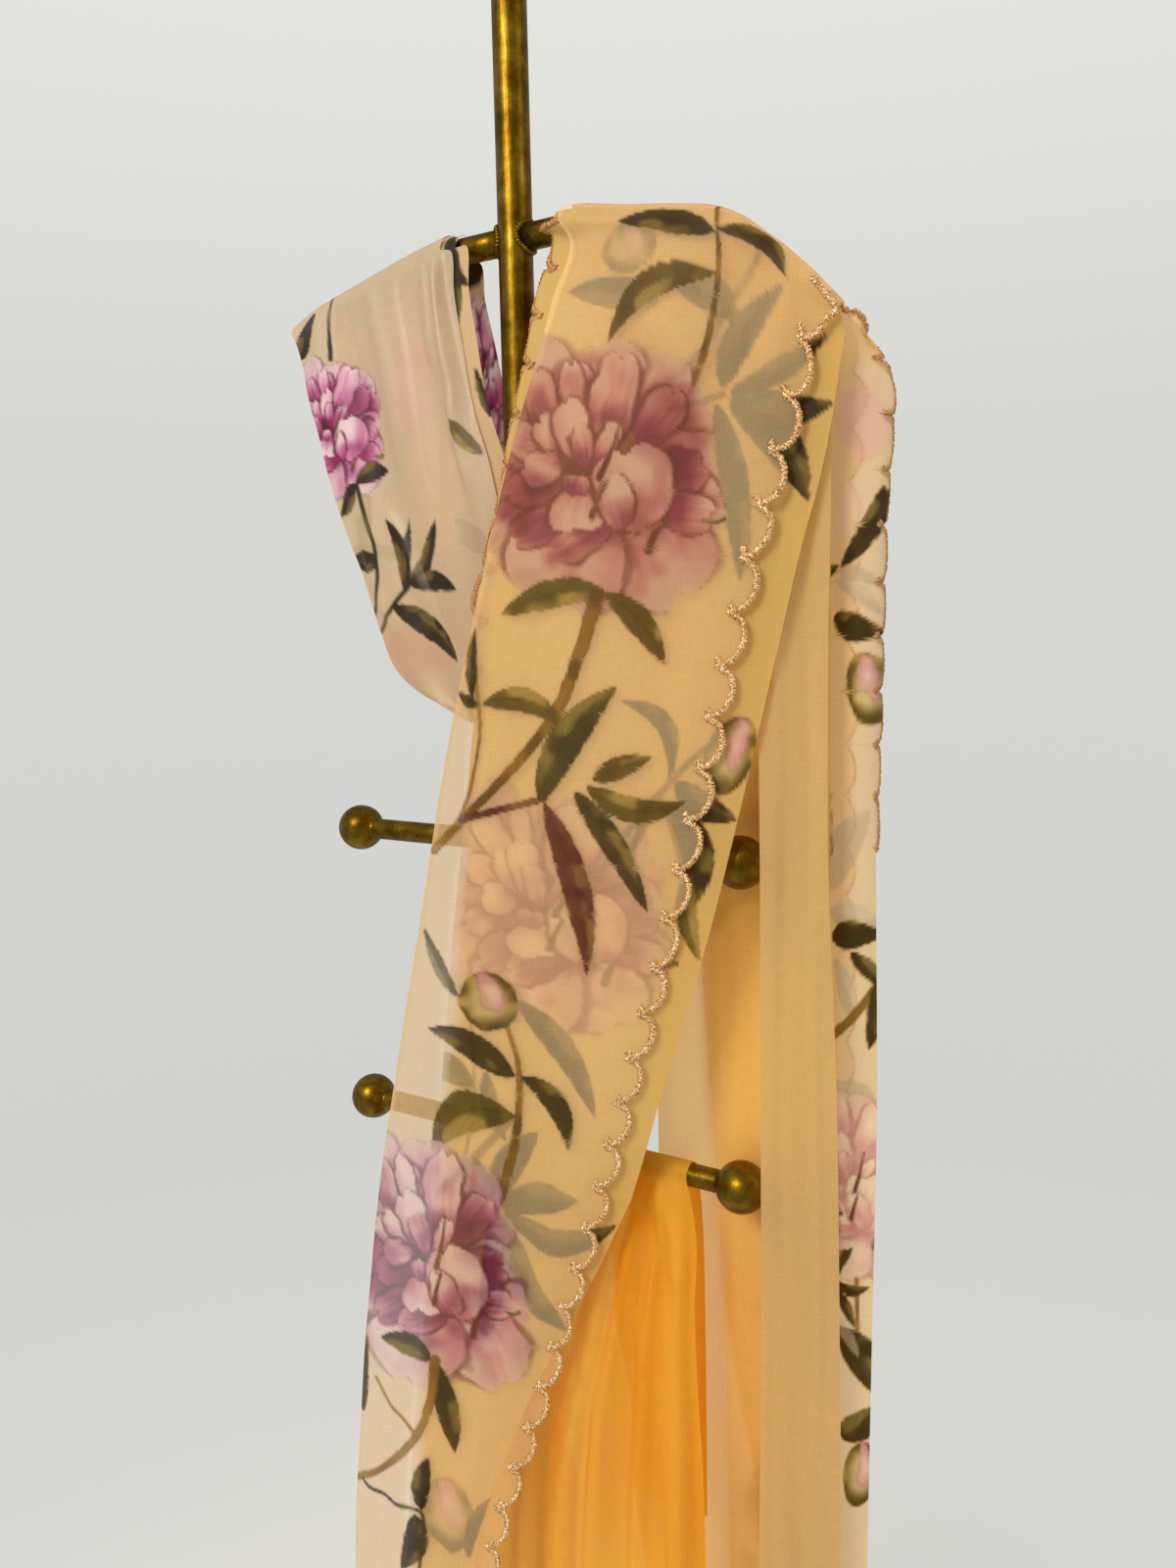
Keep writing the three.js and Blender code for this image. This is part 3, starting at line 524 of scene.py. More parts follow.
def drape(rows):
    """Surface function of (across, row) through the rows, each a function of across."""
    last = len(rows) - 1

    def surface(across, row):
        across, row = np.broadcast_arrays(np.asarray(across, float), np.asarray(row, float))
        shape = across.shape
        across, row = across.ravel(), np.clip(row.ravel(), 0, last)
        low = np.minimum(row.astype(int), last - 1)
        result = np.empty((len(across), 3))
        for i in np.unique(low):
            pick = low == i
            a = across[pick]
            p1, p2 = rows[i](a), rows[i + 1](a)
            p0 = rows[i - 1](a) if i > 0 else 2 * p1 - p2
            p3 = rows[i + 2](a) if i + 2 <= last else 2 * p2 - p1
            step0, step1, step2 = (
                np.maximum(np.linalg.norm(q - p, axis=1) ** 0.5, 1e-4)[:, None]
                for p, q in ((p0, p1), (p1, p2), (p2, p3))
            )
            out = ((p1 - p0) / step0 - (p2 - p0) / (step0 + step1) + (p2 - p1) / step1) * step1
            into = ((p2 - p1) / step1 - (p3 - p1) / (step1 + step2) + (p3 - p2) / step2) * step1
            t = (row[pick] - i)[:, None]
            result[pick] = (
                p1 + out * t + (-3 * p1 + 3 * p2 - 2 * out - into) * t ** 2
                + (2 * p1 - 2 * p2 + out + into) * t ** 3
            )
        return result.reshape(*shape, 3)

    return surface


def crest_rows(crest, side, inset):
    """Rows that wrap a layer over an arm's crest; side is 1 in front and -1 behind."""
    table = np.array(crest, float)

    def row_at(degrees):
        turn = math.radians(degrees)

        def row(across):
            along = table[0, 0] + (table[-1, 0] - table[0, 0]) * across
            z = np.interp(along, table[:, 0], table[:, 1])
            outer = np.interp(along, table[:, 0], table[:, 2])
            radius = outer - inset
            off = side * (CREST_SEAM / 2 + radius * math.sin(turn))
            return in_peg_plane(along, off, z - outer + radius * math.cos(turn))

        return row

    return [row_at(degrees) for degrees in CREST_TURNS]


def bump_over(across, at, width, depth):
    """Smooth fold: a raised cosine of a width round a place across the cloth."""
    reach = np.minimum(np.abs(across - at) / width, 1)
    return depth * (1 + np.cos(np.pi * reach)) / 2


def between(a, b, share):
    return a + (b - a) * share


def start_value(values, i):
    return values[i] if i < len(values) else 0.0


# %% [markdown]
# ## Rows of each stretch
# The front fall has two printed layers, and each row says where its left fold and right fold are and
# where the two scalloped edges lie between them.

# %% Front fall, band and back falls
NEAR_CREST = [
    (48, 1611.5, 17), (60, 1610.5, 17), (94, 1603, 17), (124, 1598, 17), (153, 1592, 17),
    (167, 1587, 16), (181, 1579, 15), (208, 1557, 12), (228, 1538, 10), (247, 1517, 7),
]
# leftX, leftY, leftZ, rightX, rightY, rightZ, outer edge, under edge
FRONT_FALL = [
    (35, -46, 1582, 194, -155, 1499, 0.89, -0.06),
    (21, -56, 1540, 191, -152, 1470, 0.86, -0.05),
    (9, -61, 1500, 187, -150, 1440, 0.85, -0.03),
    (-7, -62, 1450, 180, -148, 1405, 0.84, -0.01),
    (-21, -62, 1400, 169, -147, 1365, 0.84, 0.01),
    (-46, -54, 1300, 151, -143, 1285, 0.84, 0.04),
    (-68, -44, 1200, 131, -137, 1195, 0.85, 0.09),
    (-87, -34, 1100, 109, -128, 1100, 0.85, 0.12),
    (-107, -26, 1000, 82, -115, 1000, 0.86, 0.17),
    (-125, -20, 900, 57, -98, 900, 0.86, 0.22),
    (-139, -16, 800, 25, -81, 800, 0.87, 0.26),
    (-150, -12, 700, -20, -66, 700, 0.97, 0.33),
    (-159, -10, 600, -55, -58, 600, 1.0, 0.42),
    (-167, -8, 400, -82, -50, 400, 1.0, 0.46),
    (-170, -6, HEM, -88, -46, HEM, 1.0, 0.48),
]
FRONT_FOLDS = [(0.12, 0.14, 3), (0.42, 0.3, 7), (0.78, 0.16, 3)]
FRONT_LAYER_SPREAD = 1.8
CREST_OUTER_EDGE, CREST_UNDER_EDGE = 0.97, -0.03
UNDER_FOLD_INSIDE, UNDER_FOLD_HIDES, UNDER_FOLD_DRAW_IN = 0.92, 12, 0.06
# The scalloped margin curls back: from that far inside the edge, on that radius, up to that angle
MARGIN_CURL = {"inside": 1.0, "radius": 7.5, "angle": math.radians(92)}
# The under layer's margin curls in the rows where its edge is left of that share, from that much further
UNDER_CURL_LIMIT, UNDER_CURL_SHIFT = 0.03, 3


def curled(along, edge):
    """Cloth past the start of the curl turns backwards; gives (along, how far back)."""
    inside, radius, angle = MARGIN_CURL.values()
    past = np.maximum(along - (edge - inside), 0)
    turn = np.minimum(past / radius, angle)
    straight = past - turn * radius
    forward = radius * np.sin(turn) + straight * np.cos(angle)
    return along - past + forward, radius * (1 - np.cos(turn)) + straight * np.sin(angle)


def front_rows(inset):
    def fall_row(i, values):
        left, right = np.array(values[0:3], float), np.array(values[3:6], float)

        def row(across):
            share = np.asarray(across)[:, None]
            point = left + (right - left) * share
            middle = np.sin(np.pi * np.clip(across, 0, 1))
            point[:, 2] += start_value(CREST_RISE, i) * middle
            point[:, 1] -= start_value(CREST_BULGE, i) * middle
            forward = sum(bump_over(across, *fold) for fold in FRONT_FOLDS)
            if inset and values[7] < UNDER_CURL_LIMIT:
                chord = np.linalg.norm(right - left)
                edge = -chord * values[7]
                along, back = curled(-chord * across, edge + UNDER_CURL_SHIFT)
                point -= (right - left) / chord * (along + chord * across)[:, None]
                forward = forward - back
            return point + in_peg_plane(0, forward - FRONT_LAYER_SPREAD * inset, 0)

        return row

    fall = [fall_row(i, values) for i, values in enumerate(FRONT_FALL)]
    return crest_rows(NEAR_CREST, 1, inset) + fall


crest_count = len(CREST_TURNS)
outer_edges = [CREST_OUTER_EDGE] * crest_count + [row[6] for row in FRONT_FALL]
under_edges = [CREST_UNDER_EDGE] * crest_count + [row[7] for row in FRONT_FALL]


def at_row(values):
    return lambda row: np.interp(row, np.arange(len(values)), values)


def under_fold(row):
    below = np.maximum(np.asarray(row, float) - UNDER_FOLD_HIDES, 0)
    return np.maximum(UNDER_FOLD_INSIDE, 1 - UNDER_FOLD_DRAW_IN * below)


def always(value):
    return lambda row: np.full(np.shape(row), float(value))


# leftX, leftY, rightX, rightY, z
BAND_FALL = [
    (171, -136.2, 189, -143.4, 1505), (160, -122, 193, -138, 1470), (150, -125, 193, -139, 1400),
    (147, -129, 191, -142, 1300), (147, -133, 191, -145, 1150), (147, -134, 197, -147, 1000),
    (147, -134, 201, -147, 800), (145, -134, 204, -146, 600), (143, -133, 206, -145, 350),
    (142, -132, 207, -144, HEM),
]
BAND_FOLD = (0.55, 0.4, 3)


def band_row(values):
    left_x, left_y, right_x, right_y, z = values

    def row(across):
        y = between(left_y, right_y, across) + bump_over(across, *BAND_FOLD)
        return np.stack([between(left_x, right_x, across), y, np.full(len(across), float(z))], axis=-1)

    return row


# left, its off, its z, right, its off, its z: in the pegs' plane
BACK_FALL = [
    (48, -18, 1585, 251, -11, 1505), (51, -23, 1550, 259, -19, 1490), (56, -28, 1510, 263, -27, 1468),
    (66, -31, 1460, 260, -31, 1438), (79, -32, 1410, 257, -32, 1400), (101, -33, 1300, 255, -33, 1300),
    (117, -33, 1200, 254, -33, 1200), (132, -33, 1000, 254, -33, 1000), (146, -33, 800, 254, -33, 800),
    (151, -33, 600, 253, -33, 600), (152, -33, HEM, 252, -33, HEM),
]
INNER_FALL = [
    (49, -14.5, 1583, 246, -7, 1502), (51, -18, 1548, 249, -12, 1488), (54, -22, 1508, 251, -20, 1467),
    (60, -25, 1460, 250, -24.5, 1438), (66, -26, 1410, 249, -26, 1400),
    (78, -26.5, 1300, 248, -26.5, 1300), (88, -26.5, 1200, 247, -26.5, 1200),
    (93, -26.5, 1000, 247, -26.5, 1000), (93, -26.5, 800, 247, -26.5, 800),
    (95, -26.5, 600, 246, -26.5, 600), (95, -26.5, HEM, 245, -26.5, HEM),
]
BACK_RIPPLE = {"pitch": 46, "start": 96, "depth": 3}
# The strip's margin is curled further down to this height, and opened that far below it
STRIP_OPEN_BELOW, STRIP_OPENED = 1000, 30
# Share across of the strip's outer edge: lower down it hangs open and reaches further
BACK_EDGES = [1.0] * 5 + [1.01, 1.02, 1.03, 1.03, 1.05, 1.085, 1.08, 1.08, 1.075]


def back_rows(fall, inset):
    def fall_row(i, values):
        left, left_off, left_z, right, right_off, right_z = values

        def row(across):
            along = between(left, right, across)
            middle = np.sin(np.pi * across)
            z = between(left_z, right_z, across) + start_value(CREST_RISE, i) * middle
            turn = (along - BACK_RIPPLE["start"]) / BACK_RIPPLE["pitch"] * 2 * np.pi
            ripple = BACK_RIPPLE["depth"] * min(i / 5, 1) * np.sin(turn)
            off = between(left_off, right_off, across) + ripple - start_value(CREST_BULGE, i) * middle
            if fall is BACK_FALL:
                opened = STRIP_OPENED if left_z <= STRIP_OPEN_BELOW else 0
                along, back = curled(along, right + opened)
                off = off - back
            return in_peg_plane(along, off, z)

        return row

    return crest_rows(NEAR_CREST, -1, inset) + [fall_row(i, v) for i, v in enumerate(fall)]


# %% [markdown]
# The orange bunch is gathered over the low peg: its rows run from the short back up, over the peg and
# down the long front, and a wave across it makes the gathers. The swag's rows run over the far arm.

# %% Bunch and swag
BUNCH_CREST = (60, 136, 9.7)
# left, right, z, off, wave
BUNCH_BACK = [(50, 138, 620, -16.5, 1), (54, 138, 760, -16.5, 1), (58, 137, 870, -15, 1)]
BUNCH_FRONT = [
    (52, 142, 900, 15, 1.5), (40, 148, 868, 18, 3), (20, 148, 820, 22, 5), (-5, 151, 760, 25, 6.5),
    (-32, 156, 690, 27, 8), (-52, 158, 600, 28, 9), (-66, 160, 350, 29, 10), (-70, 160, HEM, 29, 10),
]
BUNCH_TURNS = (-90, -60, -30, 0, 30, 60, 90)
BUNCH_GATHERS = 6
# Row on the crown of the peg; the creases start past it, where the cloth hangs free
BUNCH_CROWN = len(BUNCH_BACK) + len(BUNCH_TURNS) // 2
BUNCH_FREE = BUNCH_CROWN + 2.5


def bunch_rows():
    def fall_row(values):
        left, right, z, off, wave = values

        def row(across):
            turn = across * BUNCH_GATHERS * 2 * np.pi
            gather = 0.42 * wave * (np.sin(turn) + 0.8 * np.sin(0.43 * turn + 0.6) + 0.3 * np.sin(1.7 * turn))
            return in_peg_plane(between(left, right, across), off + gather, float(z))

        return row

    def crest_row(degrees):
        turn = math.radians(degrees)
        left, right, radius = BUNCH_CREST
        z = PEG_HEIGHTS["low"] + radius * math.cos(turn)
        return lambda across: in_peg_plane(between(left, right, across), radius * math.sin(turn), z)

    return (
        [fall_row(v) for v in BUNCH_BACK] + [crest_row(d) for d in BUNCH_TURNS]
        + [fall_row(v) for v in BUNCH_FRONT]
    )


FAR_CREST = [
    (-219, 1568, 9), (-202, 1575, 12), (-186, 1580, 15), (-161, 1586, 17), (-109, 1599, 17),
    (-87, 1604, 17), (-56, 1609.8, 17),
]
# left, its z, right, its z
SWAG_FRONT = [
    (-205, 1548, -45, 1592), (-198, 1530, -43, 1562), (-193, 1508, -37, 1529),
    (-183, 1477, -27, 1479), (-171, 1431, -14, 1439), (-156, 1391, -4, 1395), (-140, 1357, 4, 1350),
    (-126, 1318, 10, 1305), (-113, 1288, 14, 1265), (-92, 1270, 16, 1240), (-60, 1256, 17, 1222),
]
SWAG_LAYER = 2.1
SWAG_OFF, CREST_OFF = 22.0, 17.0
SWAG_RISE = (6, 3)
SWAG_BACK_LIFT = 4.0
SWAG_INNER_SHARE, SWAG_INNER_REACH = 0.72, 0.08
SWAG_FOLDS = [(0.2, 0.2, 4), (0.62, 0.22, 5), (0.9, 0.1, 4)]


def swag_rows(side, inset, lift):
    def fall_row(i, values):
        left, left_z, right, right_z = values
        ease = min((i + 1) / 4, 1)

        def row(across):
            bumps = sum(bump_over(across, *fold) for fold in SWAG_FOLDS)
            off = between(CREST_OFF, SWAG_OFF, ease) + ease * bumps - inset
            z = between(left_z, right_z, across) + start_value(SWAG_RISE, i) * np.sin(np.pi * across)
            return in_peg_plane(between(left, right, across), side * off, z + lift * i)

        return row

    fall = [fall_row(i, values) for i, values in enumerate(SWAG_FRONT)]
    return crest_rows(FAR_CREST, side, inset) + fall


# %% [markdown]
# ## From a surface to a mesh
# A sheet is an even grid over its surface. Where the edge is scalloped, rows are grouped by scallop
# and the last columns swing out in half rounds. The flat place of each point is kept too, as a UV map
# in real size, because weave, print and hems belong to the flat cloth.

# %% Grid of a sheet
FADING_LOBES = 3


def rows_by_pitch(surface, edge, row_count, pitch, crest_row_count):
    """Row numbers where the edge has run on by one pitch each, after the rows over the crest."""
    start = max(crest_row_count - 1, 0)
    rows = np.arange(start, row_count - 1 + 1e-9, 0.02)
    places = surface(edge(rows), rows)
    run, stops = 0.0, list(range(crest_row_count))
    for k, gap in enumerate(np.linalg.norm(np.diff(places, axis=0), axis=1), 1):
        run += gap
        if run >= pitch:
            stops.append(float(rows[k]))
            run = 0.0
    return stops + [row_count - 1.0]


def sheet_grid(surface, stops, left, right, step, columns, scalloped, first_lobe, last_lobe):
    """Rows and shares across of an even grid; lobes swing out from stop first_lobe to last_lobe."""
    rows, lobes = [], []
    for i, (a, b) in enumerate(zip(stops, stops[1:])):
        length = np.linalg.norm(surface(0.5, b) - surface(0.5, a))
        steps = max(int(round(length / step)), 2)
        share = np.arange(steps) / steps
        rows.append(a + (b - a) * share)
        lobed = scalloped and first_lobe <= i < last_lobe
        fading = min((last_lobe - i) / FADING_LOBES, 1)
        round_off = fading * 2 * np.sqrt(share * (1 - share)) if lobed else 0 * share
        lobes.append(SCALLOP_DEPTH * round_off)
    rows = np.concatenate(rows + [[stops[-1]]])
    lobes = np.concatenate(lobes + [[0.0]])
    chord = np.linalg.norm(surface(np.ones_like(rows), rows) - surface(np.zeros_like(rows), rows), axis=1)
    first, last = left(rows), right(rows)
    if scalloped == "right":
        last = last + lobes / chord
    if scalloped == "left":
        first = first - lobes / chord
    shares = np.linspace(0, 1, columns + 1)
    across = first[:, None] + (last - first)[:, None] * shares
    return across, np.repeat(rows[:, None], columns + 1, axis=1)


def grid_faces(row_count, column_count, flip):
    k = np.arange((row_count - 1) * (column_count - 1))
    corner = k // (column_count - 1) * column_count + k % (column_count - 1)
    quads = np.stack([corner, corner + column_count, corner + column_count + 1, corner + 1], axis=1)
    return quads[:, ::-1] if flip else quads


def grid_normals(places):
    down = np.gradient(places, axis=0)
    over = np.gradient(places, axis=1)
    normal = np.cross(down, over)
    return normal / np.maximum(np.linalg.norm(normal, axis=-1, keepdims=True), 1e-9)


def cloth_piece(name, surface, across, rows, flat, material, ink, cover, relief, front):
    """Sheet mesh with its flat map and its dye; relief is a push along the normal, in millimetres."""
    places = surface(across, rows)
    normal = grid_normals(places)
    toward = normal if front else -normal
    if relief is not None:
        places = places + toward * relief[..., None]
    count, width = across.shape
    quads = grid_faces(count, width, flip=not front)
    piece = make_piece(name, places.reshape(-1, 3), quads.tolist(), material)
    mesh = piece.data
    layer = mesh.uv_layers.new(name="flat_cloth")
    loops = np.empty(len(mesh.loops), np.int32)
    mesh.loops.foreach_get("vertex_index", loops)
    flat = np.asarray(flat).reshape(-1, 2) * MM
    layer.data.foreach_set("uv", flat[loops].ravel().astype(np.float32))
    dye = mesh.color_attributes.new("dye", "FLOAT_COLOR", "POINT")
    full = np.concatenate([ink.reshape(-1, 3), cover.reshape(-1, 1)], axis=1)
    dye.data.foreach_set("color", full.ravel().astype(np.float32))
    return piece, places, toward


print("Rows ready: front", crest_count + len(FRONT_FALL), "back", crest_count + len(BACK_FALL))

# %% [markdown]
# ## Organza
# Organza is a thin, crisp plain weave of twisted silk-like yarn, and half of it is holes: it shows what
# is behind it, and it glows when light comes through. One surface does both. A share of the light
# passes straight on (Transparent), and the rest is spread in front and behind (a rough shader and a
# Translucent one). That share and the dye's colour are kept on the mesh, so that ink, hems and
# doubled folds are denser. Its 0.1 mm yarns are too fine for the picture, so the slub that shows
# is drawn coarser, as faint streaks a few millimetres apart in both thread directions.

# %% Organza material
SLUB_MM = 0.9
SLUB_STRETCH = 14.0
# The two noises multiplied lie mostly between these
SLUB_RANGE = (0.12, 0.42)


def organza(name, sheen=0.08, translucent=0.42, specular=0.3, roughness=0.55):
    material, tree = new_material(name)
    dye = node(tree, "ShaderNodeVertexColor", {"layer_name": "dye"})
    flat = node(tree, "ShaderNodeUVMap", {"uv_map": "flat_cloth"})
    threads = []
    for stretch in ((1.0, 1 / SLUB_STRETCH, 1.0), (1 / SLUB_STRETCH, 1.0, 1.0)):
        spun = node(tree, "ShaderNodeMapping", Vector=flat.outputs[0], Scale=stretch)
        threads.append(node(
            tree, "ShaderNodeTexNoise", Vector=spun.outputs[0], Scale=1 / (SLUB_MM * MM), Detail=1.0,
        ).outputs["Fac"])
    weave = node(tree, "ShaderNodeMath", {"operation": "MULTIPLY"}, _0=threads[0], _1=threads[1])
    colour = node(
        tree, "ShaderNodeVectorMath", {"operation": "SCALE"}, _0=dye.outputs["Color"],
        Scale=map_range(tree, weave.outputs[0], *SLUB_RANGE, 0.965, 1.03),
    )
    closed = node(
        tree, "ShaderNodeMath", {"operation": "ADD", "use_clamp": True}, _0=dye.outputs["Alpha"],
        _1=map_range(tree, weave.outputs[0], *SLUB_RANGE, -0.02, 0.02),
    )
    relief = node(tree, "ShaderNodeBump", Strength=0.12, Distance=0.0003, Height=weave.outputs[0])
    face = node(
        tree, "ShaderNodeBsdfPrincipled", Base_Color=colour.outputs[0], Roughness=roughness,
        Sheen_Weight=sheen, Sheen_Roughness=0.4, Specular_IOR_Level=specular, Normal=relief.outputs[0],
    )
    through = node(tree, "ShaderNodeBsdfTranslucent", Color=colour.outputs[0])
    cloth = mix_shaders(tree, translucent, face, through)
    seen = mix_shaders(tree, closed.outputs[0], node(tree, "ShaderNodeBsdfTransparent"), cloth)
    node(tree, "ShaderNodeOutputMaterial", Surface=seen.outputs[0])
    return material


printed_organza = organza("printed silk organza")
plain_organza = organza("plain dyed organza", sheen=0.05, translucent=0.5)
orange_organza = organza("orange gathered organza", sheen=0.0, translucent=0.5, specular=0.08)
satin_print = organza(
    "printed satin georgette", sheen=0.2, translucent=0.3, specular=0.5, roughness=0.42,
)

# %% [markdown]
# ## Laying the dye
# The flat cloth has its own map in millimetres: s runs across, y runs up. A dye sheet holds the colour
# and the density of each point, and motifs are laid on it one over the other, as a printer's screens
# are. Value noise, a smooth blend of seeded random numbers on a lattice, gives the watery clouds.

# %% Dye sheet and noise
LATTICE_SIZE = 256
LATTICE = np.random.default_rng(20).random((LATTICE_SIZE, LATTICE_SIZE))


def cloud(s, y, size, seed=0):
    """Smooth noise from 0 to 1 with blobs of that size."""
    u, v = s / size + 17.3 * seed, y / size + 41.7 * seed
    i, j = np.floor(u).astype(int), np.floor(v).astype(int)
    a, b = u - i, v - j
    a, b = a * a * (3 - 2 * a), b * b * (3 - 2 * b)

    def at(p, q):
        return LATTICE[p % LATTICE_SIZE, q % LATTICE_SIZE]

    low = between(at(i, j), at(i + 1, j), a)
    return between(low, between(at(i, j + 1), at(i + 1, j + 1), a), b)


def soft_step(low, high, value):
    t = np.clip((value - low) / (high - low), 0, 1)
    return t * t * (3 - 2 * t)


class Dye:
    """Colour and density of each point of a sheet."""

    def __init__(self, flat, colour, cover):
        self.shape = flat.shape[:2]
        self.s, self.y = flat[..., 0].ravel(), flat[..., 1].ravel()
        self.ink = np.tile(linear(colour), (len(self.s), 1))
        self.cover = np.full(len(self.s), float(cover))

    def near(self, place, reach):
        """Numbers and flat places of the points in a square round a place."""
        close = (np.abs(self.s - place[0]) < reach) & (np.abs(self.y - place[1]) < reach)
        picked = np.nonzero(close)[0]
        return picked, self.s[picked], self.y[picked]

    def from_left(self):
        """How far each point lies inside the sheet's left edge."""
        edge = self.s.reshape(self.shape)[:, :1].repeat(self.shape[1], axis=1)
        return self.s - edge.ravel()

    def lay_all(self, mask, hex_colour, cover=None):
        self.lay(slice(None), mask, linear(hex_colour), cover)

    def lay(self, picked, mask, colour, cover=None):
        """Lays a colour, one for all or one for each picked point, where the mask is 1."""
        mask = np.clip(mask, 0, 1)
        self.ink[picked] += (np.asarray(colour) - self.ink[picked]) * mask[:, None]
        if cover is not None:
            self.cover[picked] += (np.maximum(cover, self.cover[picked]) - self.cover[picked]) * mask


def flat_map(places, rows, way):
    """Flat place of each point: across along a level way, and up, unrolled over the crest."""
    s = places @ np.array((*way, 0.0))
    turn = np.radians(np.clip(rows, 0, crest_count - 1) * CREST_STEP)
    end = math.radians(CREST_TURNS[-1])
    unrolled = CREST_RADIUS * ((end - turn) - (np.cos(turn) - math.cos(end)))
    return np.stack([s, places[..., 2] + unrolled], axis=-1)


FRONT_WAY = (math.cos(math.radians(30)), -math.sin(math.radians(30)))
PEG_WAY = (math.cos(PEG_PLANE_TURN), -math.sin(PEG_PLANE_TURN))

# %% [markdown]
# ## Motifs of the print
# The cloth is printed with loose watercolour peonies, buds and leafy stems. Each motif is a rule in its
# own small frame: u runs from its foot to its tip and v across it. A rule gives a soft mask and a
# colour, so a motif can have any size and turn and stays sharp to a millimetre or two. The order of
# laying makes petals overlap.

# %% Stems and leaves
INK_COVER, PETAL_COVER = 0.5, 0.36
LEAF_TONES = {
    "dark": ("382806", "4C3B10", "8A7430"), "gold": ("513F0E", "79621E", "B69A4A"),
    "olive": ("3A2E0A", "5C4C18", "9A863C"), "plum": ("5A2A18", "74402A", "9A7038"),
    "slate": ("5A5238", "7A6C4C", "A6946C"), "ghost": ("AE9A76", "BAA682", "CBBB96"),
    "night": ("241603", "3A2A0A", "7A6630"), "stem": ("6A4A12", "93691E", "B58E46"),
}


def smooth_line(points, steps=12):
    """Points along a smooth line through the given ones, and the share of its length at each."""
    p = np.array(points, float)
    p = np.vstack([2 * p[0] - p[1], p, 2 * p[-1] - p[-2]])
    t = np.linspace(0, 1, steps, endpoint=False)[:, None]
    parts = [
        0.5 * (2 * b + (c - a) * t + (2 * a - 5 * b + 4 * c - d) * t ** 2
               + (3 * b - a - 3 * c + d) * t ** 3)
        for a, b, c, d in zip(p, p[1:], p[2:], p[3:])
    ]
    return np.vstack(parts + [p[-2:-1]])


def lay_stem(dye, points, thick, thick_end, tone="stem"):
    line = smooth_line(points)
    middle, reach = line.mean(0), np.ptp(line, axis=0).max() * 0.75 + 14
    picked, s, y = dye.near(middle, reach)
    here = np.stack([s, y], axis=1)
    nearest, along = np.full(len(here), 1e9), np.zeros(len(here))
    for k, (a, b) in enumerate(zip(line, line[1:])):
        ab = b - a
        t = np.clip(((here - a) @ ab) / (ab @ ab), 0, 1)
        gap = np.linalg.norm(here - a - t[:, None] * ab, axis=1)
        closer = gap < nearest
        nearest[closer], along[closer] = gap[closer], (k + t[closer]) / (len(line) - 1)
    half = 0.6 * between(thick, thick_end, soft_step(0.0, 1.0, along))
    half = half * (1 + 0.25 * (cloud(s, y, 5, 2) - 0.5))
    deep, body, light = (linear(c) for c in LEAF_TONES[tone])
    shade = soft_step(0.15, 0.6, cloud(s, y, 16, 5))
    rim = soft_step(0.45, 0.95, nearest / half)
    lit = (1 - rim) * soft_step(0.4, 0.8, cloud(s, y, 26, 6))
    colour = between(between(deep, body, shade[:, None]), light, 0.6 * lit[:, None])
    colour = between(colour, deep, 0.45 * rim[:, None])
    dye.lay(picked, 1 - soft_step(-0.9, 0.9, nearest - half), colour, dye.base_cover + INK_COVER)


def lay_leaf(dye, foot, tip, half_width, bend, tone="dark"):
    foot, tip = np.array(foot, float), np.array(tip, float)
    length = np.linalg.norm(tip - foot)
    way = (tip - foot) / length
    side = np.array((-way[1], way[0]))
    picked, s, y = dye.near((foot + tip) / 2, length * 0.62 + abs(bend) + half_width)
    offset = np.stack([s, y], axis=1) - foot
    u = offset @ way / length
    v = offset @ side - 4 * bend * u * (1 - u)
    inside = np.clip(u, 0, 1)
    profile = inside ** 0.62 * (1 - inside) ** 0.82 / 0.372
    ragged = cloud(s, y, 3.0, 7) - 0.5
    edge = 1.12 * half_width * profile + 1.3 * ragged * np.sqrt(profile) - 0.3
    gap = np.abs(v) - edge
    mask = (1 - soft_step(-0.8, 0.8, gap)) * (u > -0.01) * (u < 1.01)
    deep, body, light = (linear(c) for c in LEAF_TONES[tone])
    wash = cloud(s, y, 13, 3)
    upper = soft_step(-0.2, 0.5, v / half_width + 0.5 * (wash - 0.5))
    lit = upper * soft_step(0.35, 0.62, wash) * soft_step(0.05, 0.3, u)
    veins = 0.5 + 0.5 * np.sin(u * length / 2.1 - np.abs(v) * 1.1)
    shade = np.clip(0.25 + 0.6 * wash + 0.12 * veins, 0, 1)
    midrib = np.exp(-(v / 0.9) ** 2) * (u < 0.85)
    colour = between(deep, body, shade[:, None])
    colour = between(colour, light, (0.85 * lit * (0.8 + 0.2 * veins))[:, None])
    colour = between(colour, deep, (0.55 * midrib + 0.35 * soft_step(-1.4, 0.2, gap))[:, None])
    strength, cover = (0.6, 0.12) if tone == "ghost" else (1.0, INK_COVER)
    dye.lay(picked, mask * strength, colour, dye.base_cover + cover)


# %% [markdown]
# A petal is widest near its tip, with a notched, ruffled rim. Its foot is deep pink and it fades out
# to pale, with streaks that run along it, and a thin browner line where the wash has dried at the rim.
# A peony is rings of petals from the outside in, over dark gaps.

# %% Petals, peonies and buds
PETAL_TONES = {
    # pale, middle, deep, gap, rim
    "rose": ("E0B49E", "C67A74", "8E3352", "74322C", "8A3E3A"),
    "violet": ("ECCABE", "CE8092", "84204C", "662434", "7E3050"),
    "pale": ("EBCFAE", "E0AE9A", "CC8488", "C0907A", "C27E82"),
    "soft": ("E6BC92", "D08E78", "A85C5C", "8A4A3C", "985442"),
    "bright": ("ECCED6", "CE76A6", "96185E", "4E0A30", "761A4C"),
}


